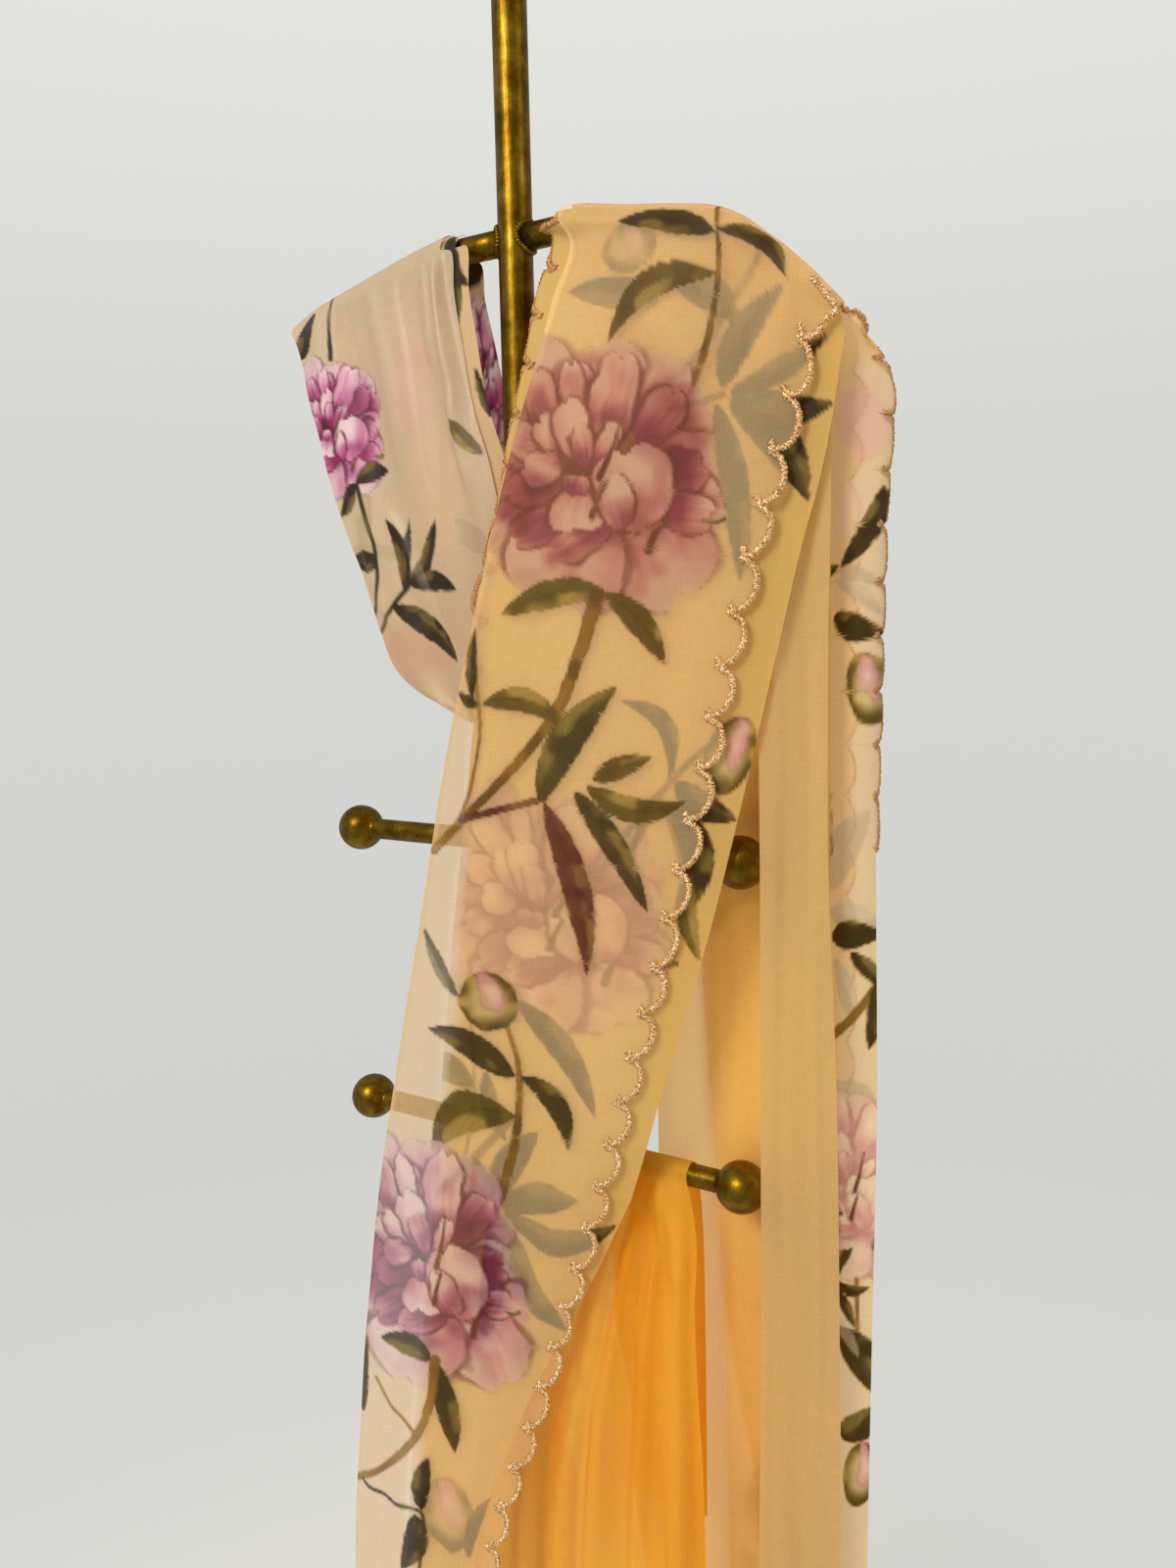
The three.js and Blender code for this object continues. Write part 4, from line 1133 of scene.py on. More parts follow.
def lay_petal(dye, foot, angle, length, breadth, tone, seed, shade, fade):
    """Petal with a dark gap under it; shade 0 is a pale face and 1 a deep, turned-away one."""
    foot = np.array(foot, float)
    turn = math.radians(angle)
    way = np.array((math.cos(turn), math.sin(turn)))
    side = np.array((-way[1], way[0]))
    picked, s, y = dye.near(foot + way * length / 2, 0.8 * max(length, breadth) + 6)
    offset = np.stack([s, y], axis=1) - foot
    ruffle = cloud(s, y, max(breadth * 0.34, 4), seed) - 0.5
    u = offset @ way / length + 0.10 * ruffle
    v = offset @ side / (breadth / 2) + 0.30 * ruffle
    notch = 0.12 * np.exp(-((v - 0.2 * math.sin(seed * 2.3)) / 0.2) ** 2)
    reach = u + notch * soft_step(0.5, 1.0, u)
    wide = np.where(
        reach < 0.62, np.sqrt(np.clip(1 - (1 - np.clip(reach, 0, 1) / 0.62) ** 2, 0, 1)),
        np.sqrt(np.clip(1 - ((reach - 0.62) / 0.38) ** 2, 0, 1)),
    )
    gap = (np.abs(v) - wide) * breadth / 2
    beyond = np.maximum(-reach, reach - 1) * length
    gap = np.where(beyond > 0, np.maximum(gap, beyond), gap)
    mask = 1 - soft_step(-0.7, 0.9, gap)
    pale, middle, deep, dark, rim = (linear(c) for c in PETAL_TONES[tone])
    halo = (0.07 * breadth + 0.8) * (0.5 + 1.4 * cloud(s, y, 9, seed + 5))
    under = (1 - soft_step(0.3 * halo, halo, gap)) * soft_step(1.15, 0.7, u) * (1 - fade)
    dye.lay(picked, 0.9 * under, between(dark, deep, 0.2), dye.base_cover + PETAL_COVER)
    streak = cloud(v * 7 + 20 * seed, u * 1.6, 1.0, seed + 1) - 0.5
    wash = cloud(s, y, 13, seed + 2) - 0.5
    rise = 0.16 + 0.72 * np.clip(u, 0, 1) + 0.2 * streak + 0.55 * wash - 0.55 * shade
    colour = between(deep, middle, soft_step(-0.05, 0.4, rise)[:, None])
    colour = between(colour, pale, soft_step(0.22, 0.72, rise)[:, None])
    shadow = soft_step(0.1, 1.0, -v * math.copysign(1, math.sin(seed * 1.7)) + 0.4 * wash)
    colour = between(colour, middle, (0.6 * shadow)[:, None])
    line = soft_step(-1.7, -0.5, gap) * soft_step(0.25, 0.5, wash + 0.5)
    colour = between(colour, rim, (0.85 * line)[:, None])
    dye.lay(picked, mask * (1 - fade * soft_step(0.45, 1.0, u)), colour, dye.base_cover + PETAL_COVER)


def cloudy_spot(dye, centre, radii, seed, rough, grain, low, high):
    """Points near a ragged oval, and a mask that is 1 inside low radii and 0 beyond high ones."""
    picked, s, y = dye.near(centre, max(radii) * 1.3)
    far = np.hypot((s - centre[0]) / radii[0], (y - centre[1]) / radii[1])
    far = far + rough * (cloud(s, y, max(radii) * grain, seed) - 0.5)
    return picked, 1 - soft_step(low, high, far)


def glaze(dye, centre, radii, colour, strength, seed):
    """Thin wash over the print: it multiplies, as a second pass of dye does."""
    picked, mask = cloudy_spot(dye, centre, radii, seed, 0.7, 0.5, 0.45, 1.05)
    dye.ink[picked] *= between(1.0, linear(colour), (strength * mask)[:, None])


def lay_blot(dye, centre, radii, colour, strength, seed, cover):
    """Cloudy spot, as where wet inks ran together."""
    picked, mask = cloudy_spot(dye, centre, radii, seed, 0.5, 0.4, 0.65, 1.1)
    dye.lay(picked, strength * mask, linear(colour), dye.base_cover + cover)


def lay_blots(dye, blots):
    """Blots (centre, radii, colour, strength) on a sheet that has no print yet."""
    for centre, radii, colour, strength in blots:
        dye.base_cover = float(np.median(dye.cover))
        lay_blot(dye, centre, radii, colour, strength, 3, 0.1)


# x, y, angle, length, breadth, shade: x and y in flower radii, angle in degrees, from the back forwards
BACK_PETALS = [
    (-0.38, 0.32, 116, 0.72, 0.6, 0.15), (0.3, 0.25, 64, 0.62, 0.6, 0.15), (0.0, 0.32, 92, 0.6, 0.66, 0.3),
    (0.36, 0.1, 34, 0.62, 0.5, 0.5), (0.42, -0.05, 4, 0.54, 0.56, 0.1), (-0.42, 0.2, 152, 0.6, 0.5, 0.4),
    (-0.36, -0.02, 184, 0.68, 0.55, 0.55),
]
BOWL_PETALS = [
    (-0.3, -0.25, 210, 0.82, 0.6, 0.25), (0.42, -0.22, 334, 0.64, 0.56, 0.5),
    (0.26, -0.36, 300, 0.76, 0.76, 0.0), (-0.12, -0.3, 250, 0.78, 1.0, 0.12),
]
MIDDLE_PETALS = [
    (-0.42, 0.28, 116, 0.52, 0.28, 0.3), (0.32, 0.14, 52, 0.52, 0.32, 0.75),
    (-0.08, 0.34, 106, 0.46, 0.24, 0.55), (0.04, 0.16, 76, 0.72, 0.42, 0.1),
    (-0.24, 0.36, 96, 0.48, 0.2, 0.1), (-0.4, 0.14, 158, 0.44, 0.28, 0.1),
    (-0.34, -0.1, 188, 0.5, 0.3, 0.7), (-0.28, -0.28, 208, 0.55, 0.32, 1.0),
    (0.44, -0.12, 18, 0.42, 0.36, 0.9), (0.5, -0.34, 352, 0.42, 0.3, 0.6), (0.1, -0.42, 200, 0.6, 0.3, 0.8),
]
HEART_PETALS = [
    (-0.3, 0.1, 132, 0.38, 0.24, 0.15), (-0.2, 0.06, 98, 0.48, 0.3, 0.0), (-0.12, 0.0, 104, 0.34, 0.2, 0.5),
    (-0.04, -0.04, 62, 0.42, 0.18, 0.2), (-0.34, 0.0, 176, 0.36, 0.28, 0.0),
    (-0.2, -0.14, 264, 0.32, 0.5, 0.0), (-0.22, -0.2, 84, 0.16, 0.24, 0.6),
    (0.32, -0.48, 94, 0.62, 0.62, 0.0), (0.2, -0.46, 110, 0.42, 0.3, 0.1),
]
# x, y, half width, half height, strength of the magenta second pass
GLAZES = [
    (-0.78, -0.12, 0.42, 0.34, 0.9), (-0.72, 0.45, 0.26, 0.34, 0.4), (0.58, 0.16, 0.3, 0.42, 0.6),
    (0.3, -0.3, 0.4, 0.12, 0.5),
]
# Lines of x, y in flower radii, and two thicknesses as shares of the flower's size
STROKES = [
    ([(0.0, -0.08), (0.1, 0.1), (0.18, 0.32)], 0.05, 0.02),
    ([(-0.06, -0.36), (-0.02, -0.26), (0.06, -0.12)], 0.05, 0.03),
    ([(0.4, -0.62), (0.45, -0.5), (0.54, -0.42)], 0.06, 0.03),
]


def lay_peony(dye, centre, radii, turn, tone, seed):
    random = np.random.default_rng(seed)
    centre, (wide, tall) = np.array(centre, float), radii
    size = math.sqrt(wide * tall)
    tones = PETAL_TONES[tone]
    c, s = math.cos(math.radians(turn)), math.sin(math.radians(turn))

    def at(x, y):
        return centre + np.array((c * x - s * y, s * x + c * y)) * (wide, tall)

    def petals(table, fade=0.0):
        for x, y, angle, length, breadth, shade in table:
            angle = angle + turn + random.uniform(-5, 5)
            a = math.radians(angle)
            stretch = math.hypot(wide * math.cos(a), tall * math.sin(a)) * random.uniform(0.94, 1.05)
            lay_petal(
                dye, at(x, y), angle, length * stretch, breadth * size, tone,
                int(random.integers(99)), shade=shade, fade=fade,
            )

    lay_blot(dye, at(0, 0.1), (0.95 * wide, 0.85 * tall), tones[1], 0.3, seed, 0.1)
    petals(BACK_PETALS, fade=0.45)
    petals(BOWL_PETALS, fade=0.2)
    lay_blot(dye, at(0.0, -0.05), (0.6 * wide, 0.5 * tall), tones[3], 0.9, seed + 1, PETAL_COVER)
    petals(MIDDLE_PETALS)
    lay_blot(dye, at(-0.12, 0.04), (0.3 * wide, 0.26 * tall), tones[3], 0.9, seed + 2, PETAL_COVER)
    petals(HEART_PETALS)
    if tone in ("rose", "violet", "bright"):
        for x, y, across, up, strength in GLAZES:
            glaze(dye, at(x, y), (across * wide, up * tall), "BC589C", strength, seed + 3)
    # loose strokes where the brush was dragged, and a torn golden tip
    for line, thick, thick_end in STROKES:
        lay_stem(dye, [at(*place) for place in line], thick * size, thick_end * size, "plum")
    lay_stem(dye, [at(0.82, -0.42), at(0.92, -0.44), at(1.0, -0.42)], 1.6, 2.6, "gold")


def lay_bud(dye, centre, radii, turn, tone, seed):
    centre = np.array(centre, float)
    c, s = math.cos(math.radians(turn)), math.sin(math.radians(turn))
    picked, p, q = dye.near(centre, max(radii) * 1.4)
    offset = np.stack([p, q], axis=1) - centre
    x = (c * offset[:, 0] + s * offset[:, 1]) / radii[0]
    y = (-s * offset[:, 0] + c * offset[:, 1]) / radii[1]
    wash = cloud(p, q, max(radii) * 0.35, seed)
    far = np.hypot(x, y) + 0.10 * (wash - 0.5)
    deep, body, light = (linear(value) for value in LEAF_TONES[tone])
    mask = 1 - soft_step(0.94, 1.02, far)
    colour = between(light, body, soft_step(0.35, 0.75, wash + 0.25 * far)[:, None])
    colour = between(colour, linear("D9C083"), (0.8 * (1 - soft_step(0.35, 0.85, far)))[:, None])
    colour = between(colour, deep, (0.7 * soft_step(0.82, 1.0, far + 0.4 * (wash - 0.5)))[:, None])
    colour = between(colour, deep, (0.7 * soft_step(-0.35, -0.85, y + 0.3 * (wash - 0.5)))[:, None])
    dye.lay(picked, mask, colour, dye.base_cover + INK_COVER)
    edge = x - 0.22 + 0.3 * y ** 2 + 0.35 * (wash - 0.5)
    petal_far = np.hypot(edge / 0.4, (y - 0.3) / 0.72)
    pale, middle, deep = (linear(value) for value in ("EBC4AE", "DFA29E", "B4686C"))
    pink = between(pale, middle, soft_step(0.2, 0.7, petal_far + 0.5 * (wash - 0.5))[:, None])
    pink = between(pink, deep, soft_step(0.72, 1.0, petal_far)[:, None])
    dye.lay(picked, 0.75 - 0.75 * soft_step(0.85, 1.05, petal_far), pink, dye.base_cover + PETAL_COVER)


LAYERS = {"leaf": lay_leaf, "stem": lay_stem, "peony": lay_peony, "bud": lay_bud}


def lay_print(dye, motifs):
    dye.base_cover = float(np.median(dye.cover))
    for kind, *values in motifs:
        LAYERS[kind](dye, *values)


def spray(s, y, turn, seed, size=1.0):
    """A whole stem with its peony, leaves and bud, for cloth that the photograph doesn't show."""
    c, sn = math.cos(math.radians(turn)) * size, math.sin(math.radians(turn)) * size

    def at(p, q):
        return (s + c * p - sn * q, y + sn * p + c * q)

    return [
        ("stem", [at(0, -60), at(-14, -110), at(-40, -150), at(-80, -190)], 7.5, 4),
        ("stem", [at(-30, -138), at(4, -150), at(38, -146)], 4, 4),
        ("leaf", at(4, -88), at(-68, -98), 9 * size, -6 * size, "gold"),
        ("leaf", at(4, -88), at(44, -134), 9 * size, 6 * size, "gold"),
        ("leaf", at(-28, -132), at(-84, -120), 10 * size, 8 * size, "dark"),
        ("leaf", at(36, -146), at(86, -92), 11 * size, 7 * size, "olive"),
        ("leaf", at(40, -148), at(96, -160), 10 * size, -9 * size, "dark"),
        ("leaf", at(32, -150), at(56, -226), 10 * size, 5 * size, "dark"),
        ("leaf", at(24, -150), at(4, -214), 9 * size, -5 * size, "plum"),
        ("peony", at(0, 0), (80 * size, 88 * size), turn, "rose", seed),
        ("bud", at(-84, -196), (20 * size, 23 * size), turn + 20, "gold", seed + 1),
    ]


# %% [markdown]
# ## Where the motifs lie
# Places are in the flat map of each sheet, in millimetres. They were read off the photograph
# and carried to the cloth through the camera; the outlines come from the rules above. A leaf has its
# foot, its tip, half its width and its bend; a stem has its line and its two thicknesses; a flower or
# a bud has its middle, its two radii and its turn. Below the picture's edge, and behind, whole sprays
# of no special place carry the print on.

# %% Motif places
OUTER_PRINT = [
    ("stem", [(163, 1592), (167, 1549), (165, 1521), (158, 1488), (146, 1465)], 3.1, 5.5),
    ("leaf", (163, 1567), (92, 1587), 8.1, -4.4, "dark"),
    ("leaf", (166, 1569), (211, 1532), 6.8, 10.8, "dark"),
    ("leaf", (166, 1541), (91, 1504), 10.6, -17.5, "gold"),
    ("peony", (89, 1423), (84, 92), 0, "rose", 1),
    ("leaf", (91, 1341), (14, 1325), 9.5, -5.8, "gold"),
    ("leaf", (94, 1339), (133, 1289), 8.4, 5.2, "gold"),
    ("stem", [(88, 1338), (79, 1310), (63, 1270), (44, 1242), (13, 1209), (-18, 1181), (-44, 1156)],
     9.6, 5.6),
    ("stem", [(-6, 1307), (-4, 1274), (-4, 1240), (-13, 1201), (-22, 1180)], 2.8, 2.8),
    ("leaf", (-8, 1267), (-5, 1317), 4.3, 2.1, "dark"),
    ("leaf", (-4, 1262), (-20, 1273), 4.0, 1.6, "dark"),
    ("leaf", (-1, 1264), (64, 1248), 8.3, 10.6, "gold"),
    ("stem", [(-20, 1180), (18, 1190), (48, 1198)], 5.5, 4.7, "plum"),
    ("leaf", (82, 1211), (124, 1228), 7.5, 1.4, "gold"),
    ("leaf", (77, 1207), (149, 1199), 8.9, -12.3, "gold"),
    ("leaf", (69, 1204), (121, 1118), 8.7, 2.7, "olive"),
    ("leaf", (43, 1196), (101, 1277), 12.0, 8.0, "olive"),
    ("leaf", (47, 1195), (73, 1068), 9.8, 8.4, "plum"),
    ("leaf", (-27, 1046), (-55, 1098), 5.2, 2.9, "slate"),
    ("stem", [(13, 1032), (21, 1000), (20, 969), (16, 942), (6, 906), (-7, 876)], 3.9, 7.8),
    ("leaf", (18, 991), (-52, 1021), 10.6, -4.5, "dark"),
    ("leaf", (16, 961), (-54, 923), 15.2, -17.4, "gold"),
    ("leaf", (23, 992), (56, 936), 8.6, 11.5, "dark"),
    ("bud", (-2, 1046), (26, 23), 15, "gold", 2),
    ("peony", (-53, 838), (64, 106), 4, "violet", 3),
    ("leaf", (-59, 753), (-103, 764), 8.8, -4.8, "dark"),
    ("leaf", (-59, 753), (-43, 675), 9.0, 3.3, "dark"),
    ("stem", [(-56, 753), (-61, 718), (-73, 687), (-99, 657), (-129, 637)], 6.8, 4.9),
    ("stem", [(-73, 687), (-96, 709), (-108, 729)], 3.0, 2.2),
    ("leaf", (-70, 625), (-63, 672), 7.0, 3.5, "night"),
    ("leaf", (-75, 621), (-89, 570), 9.2, 5.6, "night"),
    ("stem", [(-123, 637), (-97, 626), (-70, 621), (-74, 573)], 3.0, 3.0, "night"),
    ("leaf", (-122, 695), (-115, 762), 5.2, 2.6, "dark"),
    *spray(-100, 430, -8, 21), *spray(-110, 150, 10, 23, 0.9),
]
UNDER_PRINT = [
    ("bud", (101, 1569), (22, 18), -10, "gold", 5),
    ("leaf", (126, 1528), (55, 1546), 10.2, -3.1, "dark"),
    ("stem", [(193, 1552), (173, 1522), (153, 1491), (121, 1461), (99, 1437)], 4.2, 3.6),
    ("leaf", (138, 1540), (178, 1510), 9.9, 5.3, "dark"),
    ("leaf", (168, 1469), (209, 1531), 10.0, 7.1, "dark"),
    ("leaf", (174, 1465), (235, 1498), 7.2, -4.8, "dark"),
    ("leaf", (175, 1464), (240, 1455), 10.6, -7.5, "dark"),
    ("leaf", (174, 1461), (224, 1394), 11.5, 9.0, "dark"),
    ("leaf", (164, 1460), (182, 1342), 8.9, 5.1, "dark"),
    ("stem", [(135, 1458), (152, 1461), (169, 1465)], 3.7, 3.7),
    ("peony", (50, 1120), (87, 89), 0, "soft", 7),
    ("leaf", (101, 1266), (134, 1211), 6.7, 17.4, "dark"),
    ("stem", [(103, 1174), (124, 1198), (145, 1221), (164, 1238)], 4.2, 3.5),
    ("leaf", (123, 1201), (102, 1153), 3.6, 1.4, "dark"),
    ("bud", (175, 1229), (17, 28), -20, "gold", 8),
    ("leaf", (138, 1210), (180, 1185), 9.4, -4.0, "dark"),
    ("leaf", (135, 1195), (150, 1124), 11.5, 9.5, "dark"),
    ("leaf", (147, 1148), (154, 1085), 6.9, -5.6, "gold"),
    ("stem", [(127, 1201), (134, 1183), (145, 1142)], 3.3, 2.7),
    ("leaf", (19, 1048), (75, 962), 9.2, 8.5, "dark"),
    ("leaf", (-18, 978), (-83, 991), 10.6, -6.5, "dark"),
    ("stem", [(-20, 1029), (-18, 967), (-25, 931), (-32, 904)], 2.3, 2.3),
    ("leaf", (-8, 991), (7, 937), 6.7, -3.7, "dark"),
    ("stem", [(9, 953), (-30, 910), (-68, 874)], 5.3, 5.3),
    ("leaf", (-4, 892), (31, 947), 10.5, 4.8, "dark"),
    ("leaf", (-6, 892), (-19, 923), 6.7, 2.2, "dark"),
    ("leaf", (0, 884), (60, 895), 11.7, 3.9, "dark"),
    ("leaf", (2, 879), (88, 879), 10.4, -19.3, "dark"),
    ("leaf", (-2, 877), (48, 784), 11.2, -10.5, "dark"),
    ("leaf", (-9, 873), (-25, 758), 8.4, 6.7, "slate"),
    ("stem", [(-4, 888), (-19, 904), (-32, 906)], 4.4, 3.6),
    ("bud", (-52, 618), (22, 32), 10, "gold", 9),
    ("leaf", (-36, 584), (-16, 640), 5.0, 5.2, "dark"),
    *spray(-60, 330, 6, 31, 0.8),
]
BACK_PRINT = [
    ("leaf", (236, 1353), (263, 1406), 6.2, -6.2, "dark"),
    ("leaf", (231, 1350), (264, 1338), 4.8, 4.1, "ghost"),
    ("leaf", (231, 1345), (262, 1320), 5.4, 4.1, "ghost"),
    ("leaf", (230, 1320), (264, 1308), 8.9, -2.0, "dark"),
    ("bud", (255, 1271), (14, 25), 8, "gold", 12),
    ("leaf", (228, 1130), (257, 1189), 11.6, 4.3, "ghost"),
    ("leaf", (228, 1114), (265, 1101), 9.5, 5.4, "ghost"),
    ("leaf", (230, 1095), (266, 1101), 9.1, 2.8, "dark"),
    ("leaf", (233, 1082), (249, 1033), 6.5, 2.6, "ghost"),
    ("stem", [(234, 1026), (249, 1043), (264, 1066)], 5.2, 4.5),
    ("leaf", (246, 1088), (267, 1062), 5.3, 1.3, "dark"),
    ("leaf", (265, 1069), (258, 1017), 5.7, 1.4, "dark"),
    ("leaf", (236, 992), (263, 967), 8.7, 5.3, "ghost"),
    ("peony", (250, 918), (34, 76), 0, "pale", 13),
    ("stem", [(252, 846), (253, 806)], 2.2, 2.2),
    ("leaf", (240, 806), (264, 758), 11.8, 5.6, "dark"),
    ("leaf", (241, 718), (264, 747), 9.6, -3.2, "dark"),
    ("bud", (256, 692), (12, 28), -8, "gold", 14),
    ("leaf", (232, 818), (254, 785), 4.6, 2.0, "ghost"),
    *spray(140, 1470, 8, 41, 0.8), *spray(196, 1180, -12, 43, 0.45), *spray(202, 900, 14, 45, 0.45),
    *spray(202, 640, -6, 47, 0.45), *spray(202, 350, 10, 49, 0.5),
]
SWAG_PRINT = [
    ("leaf", (-201, 1535), (-188, 1572), 9.1, 0.0, "night"),
    ("stem", [(-170, 1585), (-167, 1551), (-165, 1531)], 2.0, 3.9, "night"),
    ("leaf", (-13, 1375), (-46, 1399), 8.6, 2.6, "ghost"),
    ("leaf", (-137, 1382), (-129, 1426), 7.6, 2.3, "ghost"),
    ("leaf", (-100, 1376), (-160, 1383), 8.3, 3.1, "ghost"),
    ("peony", (-161, 1479), (47, 55), -4, "bright", 11),
    ("leaf", (-141, 1434), (-110, 1440), 7.1, 3.5, "night"),
    ("leaf", (-144, 1433), (-163, 1408), 6.7, 1.7, "night"),
    ("stem", [(-141, 1432), (-133, 1403), (-125, 1381), (-124, 1352), (-132, 1326)], 3.8, 3.1, "night"),
    ("leaf", (-122, 1370), (-152, 1376), 8.0, 1.1, "night"),
    ("leaf", (-96, 1345), (-114, 1404), 6.2, -7.0, "night"),
    ("leaf", (-95, 1350), (-91, 1403), 3.7, 0.7, "night"),
    ("leaf", (-93, 1351), (-62, 1400), 6.3, -4.8, "night"),
    ("leaf", (-91, 1352), (-44, 1346), 7.2, 5.1, "night"),
    ("leaf", (-108, 1336), (-46, 1292), 8.2, 5.3, "night"),
    ("stem", [(-92, 1352), (-108, 1336), (-125, 1316)], 3.4, 3.4, "night"),
    ("leaf", (-19, 1444), (-44, 1472), 5.4, 2.3, "gold"),
]
SWAG_FOLD_PRINT = [
    ("leaf", (-52, 1612), (-40, 1540), 7.0, 1.0, "night"),
    ("leaf", (-60, 1580), (-30, 1566), 6.0, 2.0, "night"),
    ("leaf", (-12, 1470), (-26, 1508), 4.0, 1.0, "night"),
]
SWAG_BACK_PRINT = [
    ("peony", (-48, 1515), (34, 60), 0, "bright", 15),
    ("leaf", (-63, 1580), (-38, 1592), 8.5, 2.5, "night"),
    *spray(-120, 1520, 12, 51, 0.55),
]


# %% [markdown]
# ## Creases and density
# Hung cloth is never flat. The main creases are given in the flat map: a line from one point
# to another, how wide it is, and how high its ridge stands (a trough is negative). Their ends fade.
# A very low, broad unevenness lies under them. Where two plies lie together the cloth is denser.

# %% Creases
OUTER_CREASES = [
    # s, y, s, y, width, height
    (44, 1600, 10, 1420, 7, 2.2), (66, 1602, 40, 1500, 5, -1.2), (120, 1600, 96, 1505, 8, 1.1),
    (185, 1580, 150, 1440, 9, 1.6), (205, 1560, 168, 1430, 6, -1.8), (142, 1590, 118, 1500, 7, -1.0),
    (60, 1390, -20, 1130, 13, 1.8), (20, 1330, -60, 1010, 10, -1.6), (130, 1330, 90, 1120, 14, 1.5),
    (95, 1180, 20, 930, 12, -1.7), (-40, 1060, -110, 800, 9, 1.7), (60, 1010, 0, 800, 12, 1.4),
    (0, 900, -80, 640, 13, -1.6), (-70, 820, -130, 560, 8, 1.8), (-30, 700, -80, 420, 12, 1.8),
    (-110, 600, -150, 300, 9, -1.6), (-60, 500, -90, 150, 12, 1.8), (-130, 400, -150, 80, 8, 1.6),
]
UNDER_CREASES = [
    (215, 1560, 196, 1400, 5, 1.8), (228, 1530, 200, 1330, 5, -1.8), (180, 1540, 160, 1380, 9, 1.2),
    (150, 1300, 90, 1060, 9, 1.4), (120, 1120, 50, 880, 8, -1.4), (60, 940, -10, 700, 8, 1.5),
    (-10, 760, -60, 480, 9, -1.4), (-60, 560, -80, 200, 9, 1.5),
]
BAND_CREASES = [
    (196, 1500, 206, 1180, 4, 1.4), (222, 1490, 224, 1100, 5, -1.3), (208, 1220, 210, 760, 5, -1.4),
    (230, 1150, 232, 640, 4, 1.5), (196, 900, 200, 400, 4, 1.6), (218, 800, 222, 300, 6, -1.5),
    (236, 620, 236, 150, 4, 1.4), (206, 460, 204, 90, 5, -1.2),
]
BACK_CREASES = [
    (120, 1560, 130, 1330, 8, 1.6), (180, 1550, 176, 1240, 9, -1.8), (228, 1530, 226, 1260, 6, 1.4),
    (150, 1350, 160, 1020, 9, 1.7), (200, 1300, 204, 900, 8, 1.5), (176, 1080, 186, 700, 8, -1.7),
    (240, 1180, 240, 820, 5, -1.2), (216, 840, 214, 420, 8, 1.6), (168, 780, 166, 340, 8, 1.5),
    (236, 640, 238, 240, 6, 1.3), (190, 460, 192, 110, 9, -1.6),
]
BUNCH_CREASES = [
    (112, 912, 150, 800, 6, 2.2), (98, 912, 134, 780, 6, -1.8), (84, 912, 112, 700, 7, 1.6),
    (132, 800, 140, 420, 8, 1.8), (118, 740, 124, 380, 7, -1.6), (66, 860, 62, 500, 9, 1.8),
    (104, 640, 112, 240, 9, 1.8), (148, 620, 150, 160, 6, -1.4), (40, 760, 30, 300, 10, 1.8),
]
INNER_CREASES = [
    (96, 1500, 108, 1180, 7, 1.6), (130, 1480, 134, 1120, 8, -1.6), (116, 1240, 124, 860, 7, -1.5),
    (150, 1180, 152, 700, 8, 1.7), (128, 900, 130, 420, 6, 1.5), (200, 1400, 202, 900, 9, 1.4),
    (180, 900, 184, 300, 9, -1.6), (118, 520, 120, 110, 6, 1.5), (225, 1000, 226, 500, 7, -1.2),
]
SWAG_CREASES = [
    (-62, 1610, -46, 1480, 3.5, 2.6), (-76, 1606, -62, 1500, 4, 1.8), (-48, 1500, -30, 1400, 4, 2.2),
    (-190, 1600, -176, 1470, 8, 1.6), (-160, 1600, -118, 1380, 9, -2.0), (-128, 1610, -88, 1400, 8, 1.9),
    (-96, 1612, -52, 1380, 7, -1.9), (-70, 1612, -30, 1440, 5, 1.9), (-120, 1420, -60, 1310, 7, 1.8),
    (-90, 1390, -40, 1290, 5, -1.4), (-176, 1450, -130, 1350, 7, -1.3), (-54, 1600, -22, 1450, 3.5, -1.4),
    (-150, 1400, -100, 1300, 6, 1.4),
]


CREASE_HEIGHT = 1.5
UNEVENNESS = 0.8


def crease_relief(flat, creases, unevenness, seed):
    s, y = flat[..., 0], flat[..., 1]
    relief = unevenness * (cloud(s, y * 0.45, 34, seed) - 0.5) * 2
    for s0, y0, s1, y1, width, height in creases:
        run = np.array((s1 - s0, y1 - y0))
        length = np.hypot(*run)
        t = ((s - s0) * run[0] + (y - y0) * run[1]) / length ** 2
        gap = ((s - s0) * run[1] - (y - y0) * run[0]) / length
        wander = 0.35 * width * np.sin(7 * t + s0)
        ends = soft_step(0, 0.25, t) * (1 - soft_step(0.6, 1.0, t))
        relief = relief + CREASE_HEIGHT * height * np.exp(-((gap + wander) / width) ** 2) * ends
    return relief


def creased(table, unevenness=UNEVENNESS, seed=3, floor=-math.inf):
    """Relief function that leaves the crest, where the cloth lies on the arm, alone."""
    def relief(flat, across, rows):
        free = soft_step(1.5, 3.5, rows)
        return np.maximum(crease_relief(flat, table, unevenness, seed), floor) * free
    return relief


# %% [markdown]
# ## Plies and prints
# One painter for each sheet lays the tones of doubled cloth, painted shade on the bunch and the swag,
# a painted highlight on the bunch, and then the sheet's print over them.
# A blot has its middle, its two radii, its colour and its strength.

# %% Plies and prints
# How far left of the bunch's first ply its second one starts, and the width of the back strip
SECOND_PLY, STRIP_WIDTH = 54, 200
BACK_BLOTS = [((252, 1446), (20, 30), "E2A0A0", 0.5), ((244, 1385), (14, 24), "E8C4A4", 0.5)]
SWAG_BLOTS = [
    ((-82, 1500), (22, 48), "D9A296", 0.4), ((-88, 1300), (40, 22), "D09A8C", 0.45),
    ((-120, 1480), (34, 60), "CDB29C", 0.35), ((-60, 1420), (30, 50), "DDB892", 0.4),
]


